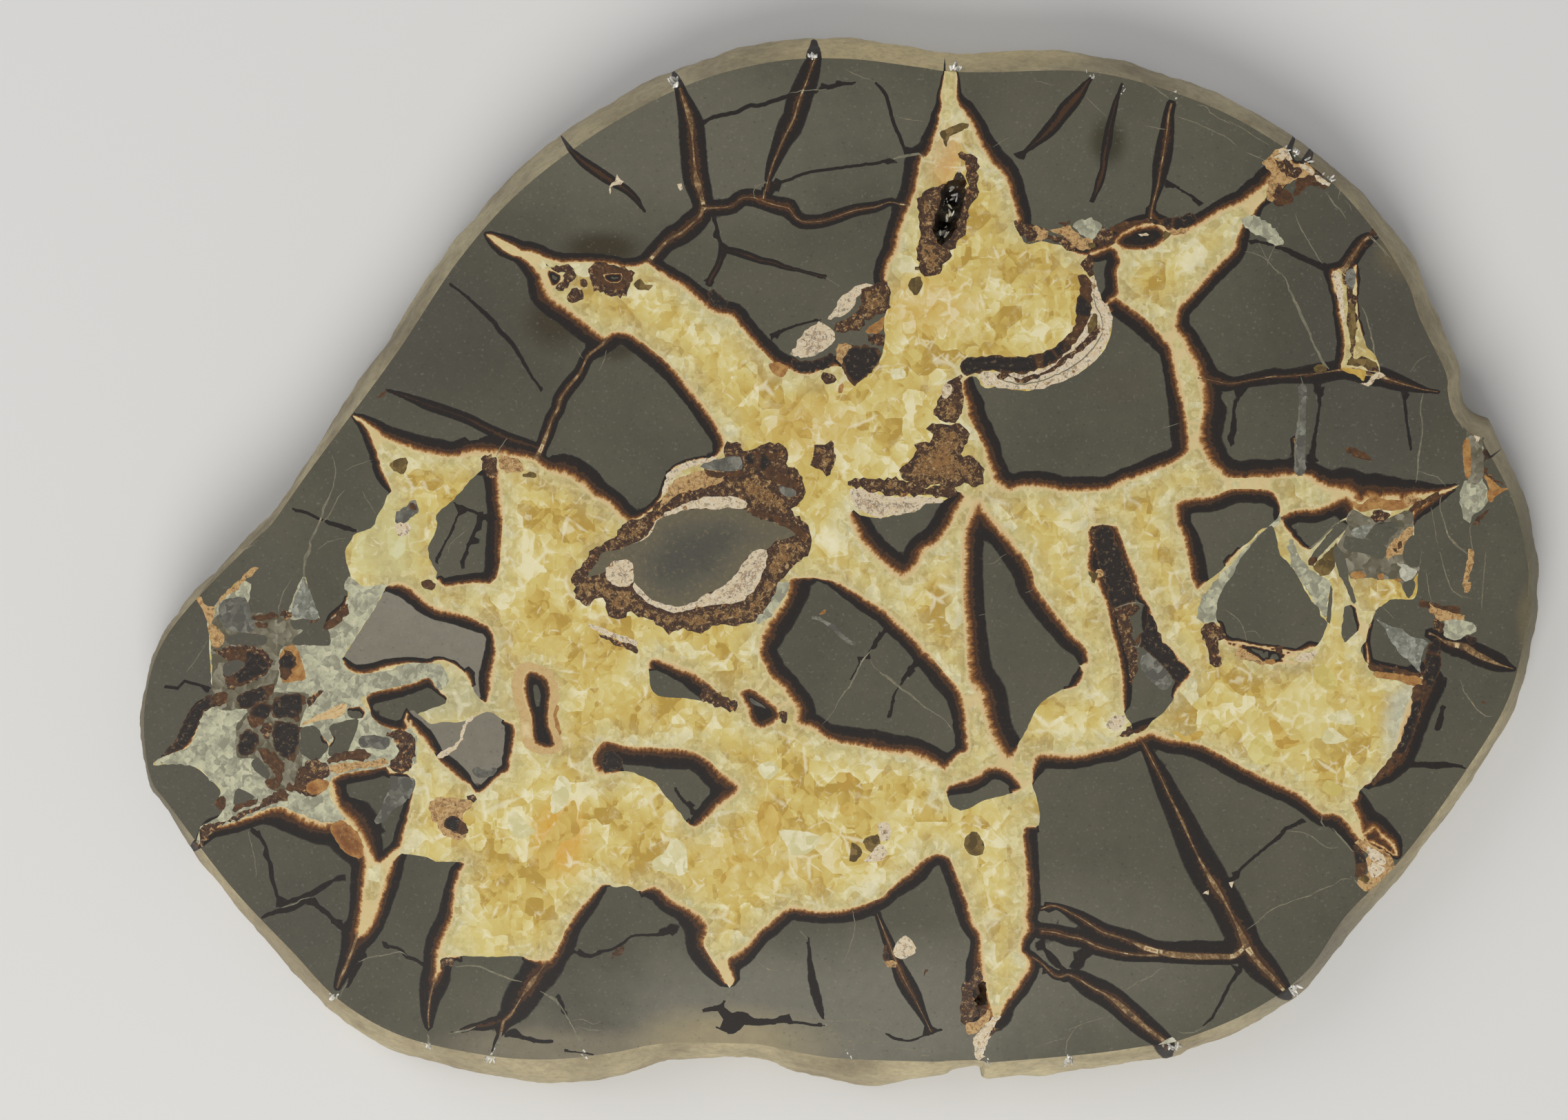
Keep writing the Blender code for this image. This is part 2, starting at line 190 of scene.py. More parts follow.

# What the polished face shows, drawn as smooth outlines, nearest last. Each shape is
# a kind and its points in the view's pixels. After a crop line they are in the pixels of an
# enlarged part of the view: where that part starts, and how many times it is enlarged.
# After x and y, a wall of mudstone gives how wide its brown lining is; a vein gives the
# half-widths of its filling and of its lining; a dark vein and a hairline give their
# half-width.
DRAWN = """
calcite 512 603 2,522 607 8,535 616 12,545 625 16,560 637 20,580 645 22,600 652 23,620 657 24,640 661,
655 663 22,678 660 26,690 658 28,700 659 30,720 659 26,728 660 24,746 663 22,760 665,772 667 20,783 675 22,
792 682 26,803 687 30,815 689 31,825 692,837 701 32,846 706 30,853 714 28,862 721 26,871 725 25,883 733 24,
890 740,899 749 23,908 755 22,917 755 15,930 750 10,945 738 8,958 722 6,967 692 4,978 679,996 670,1019 665,
1037 662 6,1050 650 16,1052 640 18,1045 625 19,1038 613 20,1022 590,1005 567,985 544,965 524,945 507,
925 491,915 485 19,905 482 18,895 481,885 483 17,878 489 22,869 483 24,859 475 25,849 467 26,826 448,
801 431,793 420,789 410 24,783 397 20,775 388 18,765 379 15,755 372 12,742 370 8,730 362 10,718 352 9,
706 340 5,720 344 7,735 352 11,748 358 12,757 364 15,770 366,782 370,792 375 14,815 381,830 380 13,845 381,
860 380,890 384,905 387,915 387,928 386 14,937 381 10,950 390 14,962 400 18,975 408,988 416 19,1000 426,
1012 436 20,1022 445 21,1035 454 22,1062 461,1069 469 21,1079 481 20,1100 503,1117 521,1128 530,
1145 535 18,1155 541 17,1170 543,1180 541,1195 535 16,1208 531 15,1222 533 0,1240 555,1262 540,1278 518,
1283 492,1283 460,1290 440,1290 425,1287 410,1285 405 18,1290 385 20,1300 367 22,1304 354 23,1307 338 22,
1315 308,1320 301 20,1322 292 22,1327 281,1332 251,1335 235,1336 227 18,1343 227 20,1350 217,1356 199 17,
1361 185 15,1363 167 12,1366 154 10,1365 138 6,1369 110 3,1372 96 2,1384 94,1388 115 4,1386 142 10,
1393 156 16,1400 165 18,1406 179 20,1413 192 21,1422 212 22,1436 234 24,1450 248,1459 262 23,1464 278 22,
1473 310,1475 322 20,1471 324 10,1478 337 0,1485 350,1494 354,1510 350,1535 355,1548 358,1556 366 6,
1566 370 10,1576 371,1590 366 12,1606 360 8,1618 352 4,1628 361 0,1645 362,1668 360,1692 343,1702 341 6,
1716 340 14,1728 333 18,1742 327,1772 308,1790 300 20,1805 294,1818 283 22,1832 273,1842 262,1852 253 18,
1860 262 0,1838 285,1825 298 8,1815 310 12,1808 318,1800 328 14,1793 345 18,1790 360,1778 372 20,1752 397,
1728 424,1715 437,1706 452,1703 468 22,1704 480,1712 492 24,1718 505 26,1725 520 28,1733 535,1737 548 30,
1741 562 32,1743 575 34,1745 590,1740 620,1737 635,1740 648,1748 662 32,1755 675 30,1768 685 28,1778 692,
1800 693 24,1820 692 26,1840 693,1870 691 24,1886 688 0,1895 692 22,1910 702 26,1925 709 28,1940 712 30,
1950 712 34,1960 718,1966 728,1975 728,1985 722,1992 720,2000 725,2012 722 32,2025 724 30,2036 728 26,
2045 722,2058 719 22,2072 717 16,2090 712 10,2105 707 6,2116 703 0,2110 708,2095 714 8,2080 722 12,
2062 732 14,2048 742,2050 765 0,2052 783,2058 795,2056 812,2056 850,2050 868,2018 870,1995 888,1988 905 4,
1982 920 6,1982 940,1984 960 8,1990 970 14,2015 978 16,2035 982,2050 985 14,2062 980 4,2064 990 30,
2057 998 34,2050 1008 36,2042 1025,2035 1045,2030 1062 34,2026 1080 32,2020 1098 28,2016 1108 22,
2010 1118 18,2000 1127 12,1990 1133 8,1976 1142 0,1970 1150 2,1968 1158 12,1960 1163 22,1964 1172 24,
1970 1185 26,1974 1198,1973 1205 16,1980 1215 6,1977 1219 8,1972 1216 16,1963 1205 20,1955 1194 22,
1944 1184,1932 1179 20,1918 1180 18,1908 1172,1895 1160 20,1880 1147 22,1840 1130,1800 1111,1760 1088,
1740 1079,1720 1075 20,1700 1071 22,1682 1064,1665 1062 20,1620 1082,1590 1088,1565 1094,1540 1093 22,
1515 1092,1502 1095 24,1497 1110 18,1496 1128 6,1498 1140 0,1503 1155,1508 1180,1506 1196,1496 1199 8,
1484 1203 20,1487 1250,1488 1280,1487 1310 22,1484 1330 20,1487 1345,1482 1355 18,1479 1370 14,
1480 1382 10,1488 1390 14,1490 1400 18,1482 1415 20,1475 1428,1462 1445 18,1452 1465 14,1446 1480 6,
1442 1475 20,1437 1460 34,1432 1440,1430 1418 30,1427 1400 26,1425 1375 18,1422 1350,1413 1338 20,
1398 1294,1388 1270 18,1380 1251,1372 1241 16,1358 1238 15,1342 1245 18,1325 1258 24,1310 1272 22,
1295 1285 18,1280 1300 16,1262 1308 18,1245 1314 20,1225 1318,1200 1321 18,1180 1320,1160 1315 20,
1145 1315,1132 1322,1118 1337,1100 1350,1085 1368,1070 1380 24,1058 1388 22,1055 1398 18,1063 1420 10,
1058 1432 0,1053 1425 8,1046 1412 16,1038 1400 20,1028 1385 24,1020 1368 26,1026 1352 30,1024 1338 34,
1015 1326 32,1000 1317 24,985 1310 22,970 1301,958 1289 20,945 1285 18,935 1290 8,925 1292 0,910 1285,
895 1287,878 1282 4,868 1287 12,856 1300 16,843 1314 20,832 1328,822 1345,815 1362 22,808 1376,800 1387,
790 1392,772 1392 8,750 1386 0,720 1388,680 1386,655 1388 6,642 1392 10,637 1406 14,631 1420 18,634 1410,
636 1390 22,640 1370 24,648 1352,655 1335 22,658 1318 20,660 1300 18,664 1280 16,668 1265,675 1252 6,
660 1250 0,632 1249,620 1243,583 1238,575 1242 6,566 1256 20,558 1275 22,554 1290,549 1308 20,540 1332,
528 1352,520 1356 22,521 1348,525 1330 20,528 1290,530 1270 22,533 1250,528 1232 30,518 1212 40,
505 1195 42,490 1186 38,470 1192 34,440 1183 32,415 1173,400 1170 28,375 1178 18,340 1192 16,305 1203 14,
285 1228 4,292 1200 0,318 1183,323 1174,316 1163,320 1150,315 1140,300 1125,285 1113,262 1107,222 1109,
243 1094 3,262 1088 6,277 1078 12,284 1062 18,290 1045 20,297 1032 18,312 1021 14,308 1000 0,305 960,
303 920,303 895,330 858,347 842,362 848,360 880,368 895,400 896,420 886,425 868,441 836,450 862,468 904,
482 897 8,500 880,504 860 0,500 842,508 838,503 815,500 800,510 782,517 773,538 766,543 760,545 752,
558 730,561 718,568 712 4,560 695 12,552 675,545 650,535 625,524 612 8
pale 303 895,330 858,347 842,362 848,360 880,368 895,400 896,420 886,425 868,441 836,450 862,468 904,
482 897 8,500 880,504 860,500 842,506 836,530 850,560 850,545 880,520 918,497 955,500 965,545 975,600 962,
640 966,640 1000,534 1007,534 1030,600 1060,600 1110,560 1113,484 1128,482 1160,500 1188,470 1192 34,
440 1183 32,415 1173,400 1170 28,375 1178 18,340 1192 16,305 1203 14,285 1228 4,292 1200,318 1183,323 1174,
316 1163,320 1150,315 1140,300 1125,285 1113,262 1107,222 1109,243 1094 3,262 1088 6,277 1078 12,
284 1062 18,290 1045 20,297 1032 18,312 1021 14,308 1000 0,305 960,303 920
pale 1855 748,1838 764,1800 800,1785 818,1760 845,1740 875,1740 900,1765 903,1768 895,1770 875,1780 855,
1795 835,1800 815,1832 775,1858 757
vein 984 118 3 6,988 135 2 9,996 158 5 14,1002 178 6 18,1004 200 2 19,1006 225,1008 248 3 19,1011 264 8 19,
1016 280 5 17,1020 297 5 15
line 973 105 1,980 118
vein 1020 300 5 15,1016 312 3 16,1003 325 2 18,988 338 3 17,975 344,964 353 3 15,952 366 4 15,941 379 5 15
vein 1020 302 3 12,1045 301 1 12,1062 298,1076 287,1095 287 1 13,1110 293 1 12,1127 298 1 13,1144 302 1 14,
1151 312 1 11,1163 321,1188 321 1 10,1210 315,1240 305 1 9,1270 300 1 8,1290 293 1 6,1305 296 1.5 4,
1320 298 2 3
line 1095 287 1,1093 278,1100 268,1113 265
line 1107 289 1,1108 275
vein 1183 82 1 9,1176 100 1 14,1170 118 1 16,1163 135 2 17,1157 152 2 18,1152 170 2 17,1145 185 2 18,
1137 200 2 15,1129 218 2 12,1122 235 1.5 10,1116 253 1 7,1112 268 1 4,1107 288 1 3
crust 1184 62,1190 63,1182 76,1177 74
line 1145 135 1,1155 133,1168 131,1195 130
dvein 1020 178 3,1035 170 3.5,1070 162,1085 154,1105 152,1140 140,1150 138 3
dvein 1185 131 1,1200 127,1220 122,1240 120
dvein 1118 265 2.5,1135 264,1170 251,1215 244,1260 238,1280 235,1295 231 2
line 1295 231 3,1305 228,1320 225,1332 223,1340 228 2
line 1225 100 1,1235 105 1.2,1250 112,1265 117 1
dvein 1270 120 3,1283 135,1290 155,1295 175,1303 195,1310 212,1315 222 2
line 1303 170 1,1320 174,1340 176
dvein 1033 310 3,1037 320,1042 345 2,1045 352 1
vein 1052 362 .5 5,1070 366 .5 6,1088 372,1105 378 .5 5,1122 381,1140 388 .5 4,1160 392 .5 3,1180 398,
1197 402 .5 2
line 1197 402 1,1218 415 .8
vein 1047 360 .5 5,1045 375,1040 388,1033 400,1028 410 .5 4
vein 819 209 .5 1.5,828 218 .7 4,845 234 .7 7,862 246 .7 8,880 258,893 266 .7 7,908 275 .7 6,922 288 .7 5,
932 302 .5 3,941 316 .4 .8
shell 895 252,898 258,904 263,900 268,893 268,887 272,885 282,883 276,885 270,891 262
shell 983 268,988 267,991 275,986 277,983 272
vein 880 490 3 15,873 500,861 509 2.5 12,852 517 3 10,846 530 2 9.5,840 542 3 10,831 553 3 11,820 567 2 11,
812 580 3 11,809 593 3 10.5,801 606 2 10.5,797 618,792 632 4 10.5,785 650 5 9,777 666 6 7
line 880 508 1,875 525,868 538
line 835 505 1,845 520
dvein 653 412 .7,670 425 2,690 442 3,703 455 4,715 465,725 480,740 495,752 512 3.5,762 530 3,775 552 2,
785 565 .5
vein 553 563 .3 1,575 570 .5 4,600 579 .7 6,620 587 .8 8,650 597,680 608,705 621 1 8,735 635 1 9,
760 643 .5 8,785 650 .3 6
line 735 635 1.2,725 650 1.5,720 662
mud 721 674 22,725 697,728 731,729 758,725 810,722 829 20,719 838,710 846 18,701 846 16,678 846 14,660 849,
644 851 12,632 838 0,634 830,627 820,621 795,634 765,633 747,658 724,678 701,699 682
crust 700 662,712 660,720 668,720 690,708 692,700 680
dvein 658 729 2,680 740 2.5,707 749
dvein 666 743 .8,650 780,632 813
dvein 697 749 .8,684 780,670 813
line 678 768 1,653 789,651 801
dark 610 843,622 840,632 846,630 853,612 853
tan 724 660,745 664,758 672,756 686,735 684,724 676
umber 757 690,768 684,778 687,778 692,768 692
crust 832 851,833 833,853 806,860 795,894 776,901 760,917 756,933 749,945 740,958 726,975 712,996 705,
1040 697,1050 690,1050 644,1061 642,1075 644,1078 654,1109 645,1129 641,1140 650,1144 660,1140 672,
1156 683,1165 697,1165 706,1169 714,1165 724,1156 733,1147 738,1156 744,1168 758,1177 779,1175 801,
1165 808,1150 822,1129 845,1127 856,1118 872,1104 892,1081 906,1040 908,1010 916,974 915,970 920,962 910,
942 899,933 897,915 885,908 895,896 898,887 896,880 888,879 874,874 867,858 871,855 879,844 876,835 867
mudcore 851 837,867 813,874 801,899 796,940 776,953 756,969 747,985 741,1010 738,1043 738,1061 735,
1086 742,1097 750,1138 763,1150 770,1154 776,1140 781,1122 785,1113 797,1097 797,1086 806,1061 840,
1043 854,1021 862,1015 868,1001 876,985 880,965 877,946 870,920 845,917 838,917 824,915 814,903 812,
892 813,883 820,878 829
shell 1113 800,1111 815,1097 851,1084 865,1065 875,1020 879,985 888,965 885,946 878,930 866,917 850,
920 845,946 870,965 877,985 880,1001 876,1015 868,1021 862,1043 854,1061 840,1086 806,1097 797,1113 797
shell 878 829,883 820,892 813,903 812,915 814,919 838,912 850,895 850,882 842
shell 917 788,940 776,955 751,996 730,1019 722,1050 720,1070 722,1084 731,1075 739,1061 735,1043 738,
1010 738,985 741,969 747,953 756,946 772,930 786
shell 960 718,967 690,978 679,996 670,1019 665,1040 663,1042 668,1020 672,998 679,984 687,974 698,968 712
tan 968 712,975 700,990 690,1010 684,1045 680,1045 700,996 712,975 722,955 740
grey 1020 672,1060 662,1075 665,1075 680,1058 684,1022 680
dark 1022 680,1035 682,1058 684,1075 680,1078 690,1050 692,1025 690
dark 1084 731,1088 735,1125 749,1145 754,1159 763,1170 776,1165 782,1138 763,1097 750,1086 742
dark 1079 660,1100 656,1134 658,1118 674,1147 695,1159 701,1154 715,1143 718,1135 706,1115 695,1100 680,
1085 674
grey 1129 704,1140 706,1154 712,1150 720,1136 718
mud 1165 838 6,1184 838 4,1202 841 8,1220 846 14,1227 851 15,1243 858 18,1254 867 19,1270 876 20,
1281 881 21,1293 892,1302 901 22,1327 924,1338 938,1350 951 23,1361 965,1372 979 24,1392 1000,1400 1020,
1403 1040 22,1404 1065 20,1406 1085,1402 1091 14,1390 1095 12,1383 1103 14,1375 1112 20,1372 1118,
1358 1111 24,1340 1103 26,1318 1096 28,1295 1093,1270 1087,1245 1082 26,1220 1078,1200 1073 24,
1190 1065 22,1175 1056,1160 1052 24,1152 1046 26,1155 1032 28,1150 1022,1143 1010 26,1135 998,1122 985,
1112 972,1104 955,1101 940 24,1104 922 30,1111 906 32,1122 892,1136 874 29,1143 856 30,1147 840
grey 1177 893,1188 895,1202 902,1215 912,1229 926,1241 931,1240 936,1228 932,1200 907,1187 900,1177 898
amber 1188 891,1192 887,1198 884,1196 889
dvein 1288 910 2,1272 929,1261 945,1247 963 1.5,1234 985 1
pale 1129 845,1145 845,1132 873,1106 904,1096 900,1104 892,1118 872,1127 856
mud 1372 1148 6,1376 1140 14,1392 1133 18,1408 1128 20,1432 1112,1445 1110,1460 1113,1470 1122 18,
1480 1135 16,1483 1142 10,1475 1148 4,1462 1152 0,1430 1160,1400 1174,1388 1173,1378 1166,1375 1157
mud 1231 749 20,1238 767 28,1245 781,1256 795,1284 822,1297 833,1309 840,1320 833,1331 822,1338 808,
1347 797,1361 788,1369 779,1384 751,1393 735 24,1400 720 10,1388 713 0,1375 722,1361 728,1338 731,1327 742,
1302 745,1288 749,1270 751,1247 747,1238 740
shell 1231 715,1238 708,1252 710,1293 720,1338 720,1361 723,1368 728,1343 731,1327 742,1288 747,1277 751,
1247 740,1238 731
crust 1231 699,1247 693,1270 695,1293 692,1311 695,1338 706,1361 704,1384 706,1388 713,1375 722,1338 718,
1302 720,1284 717,1238 706
crust 1379 551,1393 545,1397 560,1398 580,1396 595,1388 610,1372 612,1360 604,1356 594,1368 566
shell 1367 560,1375 556,1381 562,1378 575,1368 579
crust 1343 622,1352 614,1372 616,1392 614,1404 630,1402 648,1394 658,1410 662,1424 674,1428 688,1424 700,
1410 707,1398 700,1386 708,1362 704,1338 706,1312 697,1304 682,1316 672,1322 660,1330 652,1325 645,
1336 640,1348 642,1352 630
crust 1181 645,1196 643,1205 640,1209 643,1207 652,1213 660,1214 668,1207 675,1203 688,1199 690,1193 683,
1183 679,1176 674,1180 662
shell 1145 513,1153 503,1160 490,1168 480,1180 472,1192 468,1205 477,1212 487,1208 497,1200 505,1175 518,
1150 517
shell 1200 463,1213 444,1218 434,1228 424,1240 416,1250 412,1262 411,1268 414,1258 418,1242 432,1240 440,
1225 456,1205 463
crust 1268 412,1278 408,1287 412,1290 425,1290 440,1287 450,1265 460,1255 465,1250 475,1240 480,1225 482,
1212 478,1215 470,1238 455,1245 445,1252 422
dark 1235 500,1262 502,1275 508,1278 518,1270 532,1260 543,1245 552,1237 560,1227 540,1221 533,1222 518,
1230 508
tan 1213 503,1222 498,1235 500,1228 512,1220 528,1213 520
crust 1258 490,1268 485,1280 482,1283 492,1280 500,1272 503,1262 498
amber 1255 480,1270 468,1283 458,1282 468,1278 480,1265 485
dark 1150 520,1160 523,1180 522,1195 518,1205 512,1208 528,1180 539,1160 540,1150 535
dvein 1120 488 1.5,1150 473 2,1190 464 1.5
amber 1115 528,1130 526,1143 535,1135 546,1120 540
dark 1026 425,1035 420,1050 430,1056 440,1050 446,1040 445,1030 440
crust 853 395,860 383,878 382,915 392,916 406,912 420,903 430,883 428,867 422,858 413
dark 862 385,880 385,900 389,915 395,912 408,901 420,883 417,867 410,861 399
mud 875 399,883 397,901 397,900 408,890 410,878 406
crust 792 382,803 386,815 384,828 386,834 394,832 404,826 414,816 421,806 418,820 400,814 395,800 392
mud 793 393,808 396,814 402,808 412,800 414
crust 825 426,833 417,844 420,847 426,844 437,835 439,825 437
dark 842 406,850 404,853 412,847 417,842 414
umber 919 412,929 404,936 412,947 414,940 420,925 420
crust 1191 545,1200 542,1211 546,1210 555,1198 556
amber 1216 558,1222 556,1221 570,1216 571
umber 1322 404,1335 402,1338 415,1330 428,1322 424,1318 414
umber 1327 387,1336 387,1336 391,1327 391
ivory 1293 537,1311 535,1313 547,1296 549
umber 1363 193,1372 187,1399 178,1405 184,1383 195,1375 202,1372 213,1368 202
crust 1367 269,1349 273,1337 280,1331 296,1334 342,1329 370,1335 386,1342 399,1363 397,1368 384,1379 370,
1383 358,1399 340,1404 319,1406 301,1415 292,1418 278,1420 255,1417 230,1402 221,1390 223,1399 234,
1402 255,1401 273
void 1388 248,1381 260,1365 280,1363 296,1356 313,1355 331,1356 345,1365 356,1376 352,1388 317,1397 301,
1400 278,1399 262,1392 251
shell 854 903,890 917,926 931,924 937,885 924,866 916,854 909
crust 863 915,878 922,912 933,922 938,924 947,894 935,876 926
shell 1420 542,1436 540,1450 545,1450 558,1429 558
mud 569 573 0,600 588,650 610,680 620,700 622,670 634,655 639,640 638,600 628,553 604,545 600
crop 240 820 3.825
murk 262 300,470 262,700 300,722 440,640 460,622 640,600 700,740 700,800 740,745 890,762 1090,720 1200,
600 1250,520 1080,400 1062,395 900,450 800,270 785,262 560
grey 310 200,440 180,470 250,500 340,430 370,340 350,300 290
tan 400 90,470 20,500 0,520 10,400 130,330 180,280 240,262 300,240 330,215 260,165 180,165 150,255 235,
330 150
tan 238 330,262 320,300 350,330 400,320 440,265 450,250 400
mud 345 395 0,430 375,550 385,562 410,540 442,400 446,345 425
mud 695 310 0,790 292,860 300,905 365,915 440,850 442,720 438,705 410,760 360,710 350
dark 495 275,610 262,622 290,500 306,480 300
dark 490 312,570 322,565 345,500 335
crust 640 265,705 255,700 285,650 292
dark 800 280,835 270,845 300,825 320,795 305
dark 880 330,930 290,985 225,1010 215,1018 250,985 290,930 345,900 358,875 345
crust 270 470,340 450,430 445,520 455,575 500,590 560,560 600,480 650,380 680,340 660,320 520
dark 330 500,360 470,430 465,500 480,555 515,568 560,540 600,400 660,350 655,340 630,445 560,440 535,
400 522,345 530
mud 325 545 0,400 525,440 540,430 562,385 595,345 615,320 595
amber 640 490,680 445,725 455,775 600,765 635,700 648,650 645,632 580
dark 638 510,660 475,705 480,722 530,708 580,682 622,645 628,633 570
dark 395 740,420 710,500 680,605 655,592 700,575 740,530 752,460 797,410 780
dark 252 730,280 703,337 700,347 730,320 777,265 782
dark 470 800,510 765,560 758,588 790,570 832,500 897,470 882,458 840
dark 425 930,470 912,512 940,522 980,490 1032,450 1060,408 1042,403 1000
dark 598 760,650 718,720 708,780 730,768 780,745 830,733 872,690 842,600 838
dark 598 880,650 863,742 888,752 920,720 1050,708 1088,640 1052,598 1010
crust 540 880,572 868,588 900,570 952,540 942,528 900
crust 790 740,850 690,870 680,850 720,790 780
dark 515 1010,560 1018,612 1048,662 1110,652 1170,622 1232,580 1242,556 1200,608 1170,590 1130,540 1075
mud 480 1112 0,510 1062,550 1105,582 1160,560 1185
mud 752 885 2,800 852,990 762,1002 800,960 840,870 856
mud 1010 795 2,1090 785,1105 830 3,1070 848 0,1022 842
mud 755 905 0,830 892,880 960 2,910 990,870 1060 0,830 1086,780 1062,742 1030,745 960
mud 912 892 0,1000 862,1070 862,1020 1010,1000 1040,905 1055,912 1000 2,930 960
grey 1080 950,1190 945,1240 960,1240 1000,1200 1020,1140 1015,1080 1000
dark 900 1082,940 1045,1060 1025,1132 1035,1122 1078,1010 1080,910 1098
tan 905 1112,1000 1092,1120 1088,1210 1068,1235 1090,1200 1115,1080 1125,935 1155
dark 1315 940,1342 930,1362 1000,1368 1080,1332 1142,1270 1142,1240 1112,1300 1100,1322 1040
crust 760 1100,820 1080,900 1100,905 1160,862 1210,885 1240,800 1278,730 1252,718 1180
dark 690 1203,716 1222,700 1252,662 1240
dark 600 1262,650 1238,684 1268,672 1302,620 1308
dark 742 1212,775 1238,748 1265,718 1240
dark 750 1130,785 1122,775 1150,745 1165
mud 385 1250 0,400 1236,492 1285,390 1330,375 1318
dark 370 1340,440 1310,512 1288,500 1322,420 1350,380 1368
dark 288 1300,320 1280,332 1320,315 1356,284 1340
crust 190 1540,200 1440,300 1430,400 1372,500 1335,600 1262,640 1300,560 1335,430 1400,330 1440,240 1500,
200 1560
dark 60 960,100 870,160 785,240 718,258 735,245 795,205 802,190 862,142 960,92 1012,15 1045,0 1036
crop 0 0 1
dvein 267 987 2.5,285 992,306 998
dvein 240 996 2.5,256 998
grey 573 757,573 745,582 738,592 733,595 728,602 726,607 738,606 745,598 748,590 757,580 760
dark 594 728,600 727,603 738,596 736
shell 573 760,585 757,595 762,592 775,585 778,575 772
umber 565 672,588 663,591 675,585 688,575 685
dvein 425 739 1,445 744 2.5,462 752,478 758 3.5,495 763 4,516 770 5
line 482 660 1,487 680 1.2,484 700,478 720 1.5,470 735 3,466 750 2,460 765 2.5,452 780,449 795 3,445 805 5,
442 815 3,441 830 2,440 845
blue 441 838,452 865,458 880,461 897,440 897,424 893,427 870,437 845
line 500 710 1,490 722 1.2,482 738,475 750 1.5,466 757
line 460 797 1,475 787 1.2,490 782 1,502 780 .8
line 500 683 .8,515 675,540 667
line 525 712 .8,533 725,545 745
line 423 838 .8,417 850 1,410 860 1.2,406 875,404 890 1
line 375 783 1,355 797 1.2,340 805 1,328 813,315 825 .8
line 300 930 .8,285 955,270 975
mud 534 1007 16,580 995,600 990 14,622 983,632 997 6,640 1005 4,648 1012 2,646 1020 0,600 1038,595 1050 12,
585 1062 14,570 1058,550 1050 12,540 1040 8,536 1025 4
crust 562 1062,580 1058,596 1064,602 1080,600 1100,592 1116,575 1120,563 1112,572 1100,578 1085,570 1072
dark 425 1136,438 1133,442 1142,434 1148,426 1145
amber 445 1138,460 1130,475 1132,476 1142,462 1152,448 1150
mud 482 1127 16,520 1118,540 1116 14,560 1112 12,566 1120 8,590 1122 4,598 1135 6,598 1150 8,594 1170 10,
590 1190 12,586 1210 14,582 1228,572 1235 12,552 1252,545 1252 14,536 1240 20,530 1225 24,520 1208,
508 1193 22,495 1180 20,486 1165,482 1145
grey 565 1125,600 1130,598 1150,585 1165,570 1175,560 1190,545 1195,543 1190,553 1170,567 1135
amber 505 1195,520 1210,528 1235,520 1245,500 1235,485 1215,478 1200,490 1190
tan 1840 228,1850 218,1862 214,1872 208,1880 206,1896 232,1907 250,1898 256,1876 263,1866 268,1850 286,
1845 294,1838 290,1838 262,1846 250,1838 243
crust 1855 228,1862 224,1868 230,1873 240,1885 244,1890 250,1882 256,1872 258,1862 256,1854 248,1852 238
mud 1868 221,1880 212,1888 222,1895 236,1885 238,1874 236
dark 1880 262,1905 252,1915 258,1926 268,1920 275,1908 270,1895 272,1885 282,1876 284,1877 272
dark 1850 287,1858 276,1866 275,1876 284,1874 292,1862 298,1852 298,1846 293
dark 1900 236,1912 246,1921 257,1912 254,1904 245
shell 1853 217,1862 215,1870 222,1874 231,1868 233,1860 224
shell 1885 239,1895 240,1906 249,1904 254,1893 247
shell 1906 254,1918 258,1929 266,1927 270,1914 265
line 1922 278 1.5,1930 288 2,1935 297,1942 302,1948 310,1952 317 1.5
line 1878 310 1,1884 325 1.2,1888 335 1.5,1895 345 1,1900 355,1910 370
line 1946 260 1,1944 275,1940 288 1.5
line 1950 290 1,1958 298 1.2,1960 306 1
line 1998 300 1,1999 312,1997 330
crust 1985 338,1995 330,2003 327,2015 327,2016 331,2005 333,1988 344
line 1985 342 1.5,1995 351,2005 362,2012 372 1
pale 1840 340,1850 338,1856 347,1848 355,1840 352
line 1840 1322 1,1855 1314,1870 1308 1.2,1882 1304 1,1900 1298 1.2,1915 1290 1,1935 1283
line 1963 1272 1.5,1968 1280 2,1974 1287
tan 1968 1278,1985 1285,2000 1283,2002 1288,1988 1292,1975 1290
dark 545 575,552 570,560 563,556 572,548 578
mudlight 559 852 3,566 848 12,578 845 18,592 850 20,612 866,624 876 18,640 883,662 888,685 896,701 905 14,
710 910 12,716 922,719 935 14,719 951 18,716 970 19,714 990 20,711 1008 14,704 1020 5,694 1011 0,687 1002,
683 993 2,674 976 3,662 966,650 959 4,636 957 6,620 962 7,600 961 8,580 963 10,560 968 12,540 975 14,
520 978,505 972 12,498 960 8,497 955 0,520 918,545 880
mudlight 596 1030 0,625 1050,640 1047,665 1047,682 1043,700 1034,713 1033,732 1045 2,746 1052 14,746 1075,
742 1095 13,738 1117 12,722 1127 10,703 1146 9,690 1150 8,681 1138 6,668 1132 16,652 1117 17,636 1102 14,
632 1094 0,620 1080 16,608 1066,596 1052 14,588 1043 8
shell 688 1037,676 1045,671 1052,668 1065,662 1078,640 1090,634 1098,642 1098,664 1083,672 1068,676 1052,
684 1046
grey 684 1118,690 1112,702 1116,714 1113,722 1116,715 1124,700 1128,690 1126
halo 750 968,762 960,790 967,801 976,808 992,810 1010,808 1040,816 1080,811 1089,798 1094,780 1092,
766 1087,757 1075,752 1035,745 1015,742 995,744 978
mud 762 975 17,768 971,790 980,797 995 16,799 1010 15,797 1025 14,796 1040,798 1055,805 1080,798 1085 15,
785 1083,775 1077,772 1065 14,770 1045 13,766 1030,760 1015 15,758 1000 16,759 985 17
amber 807 1022,803 1040,811 1066,814 1064,808 1038,811 1024
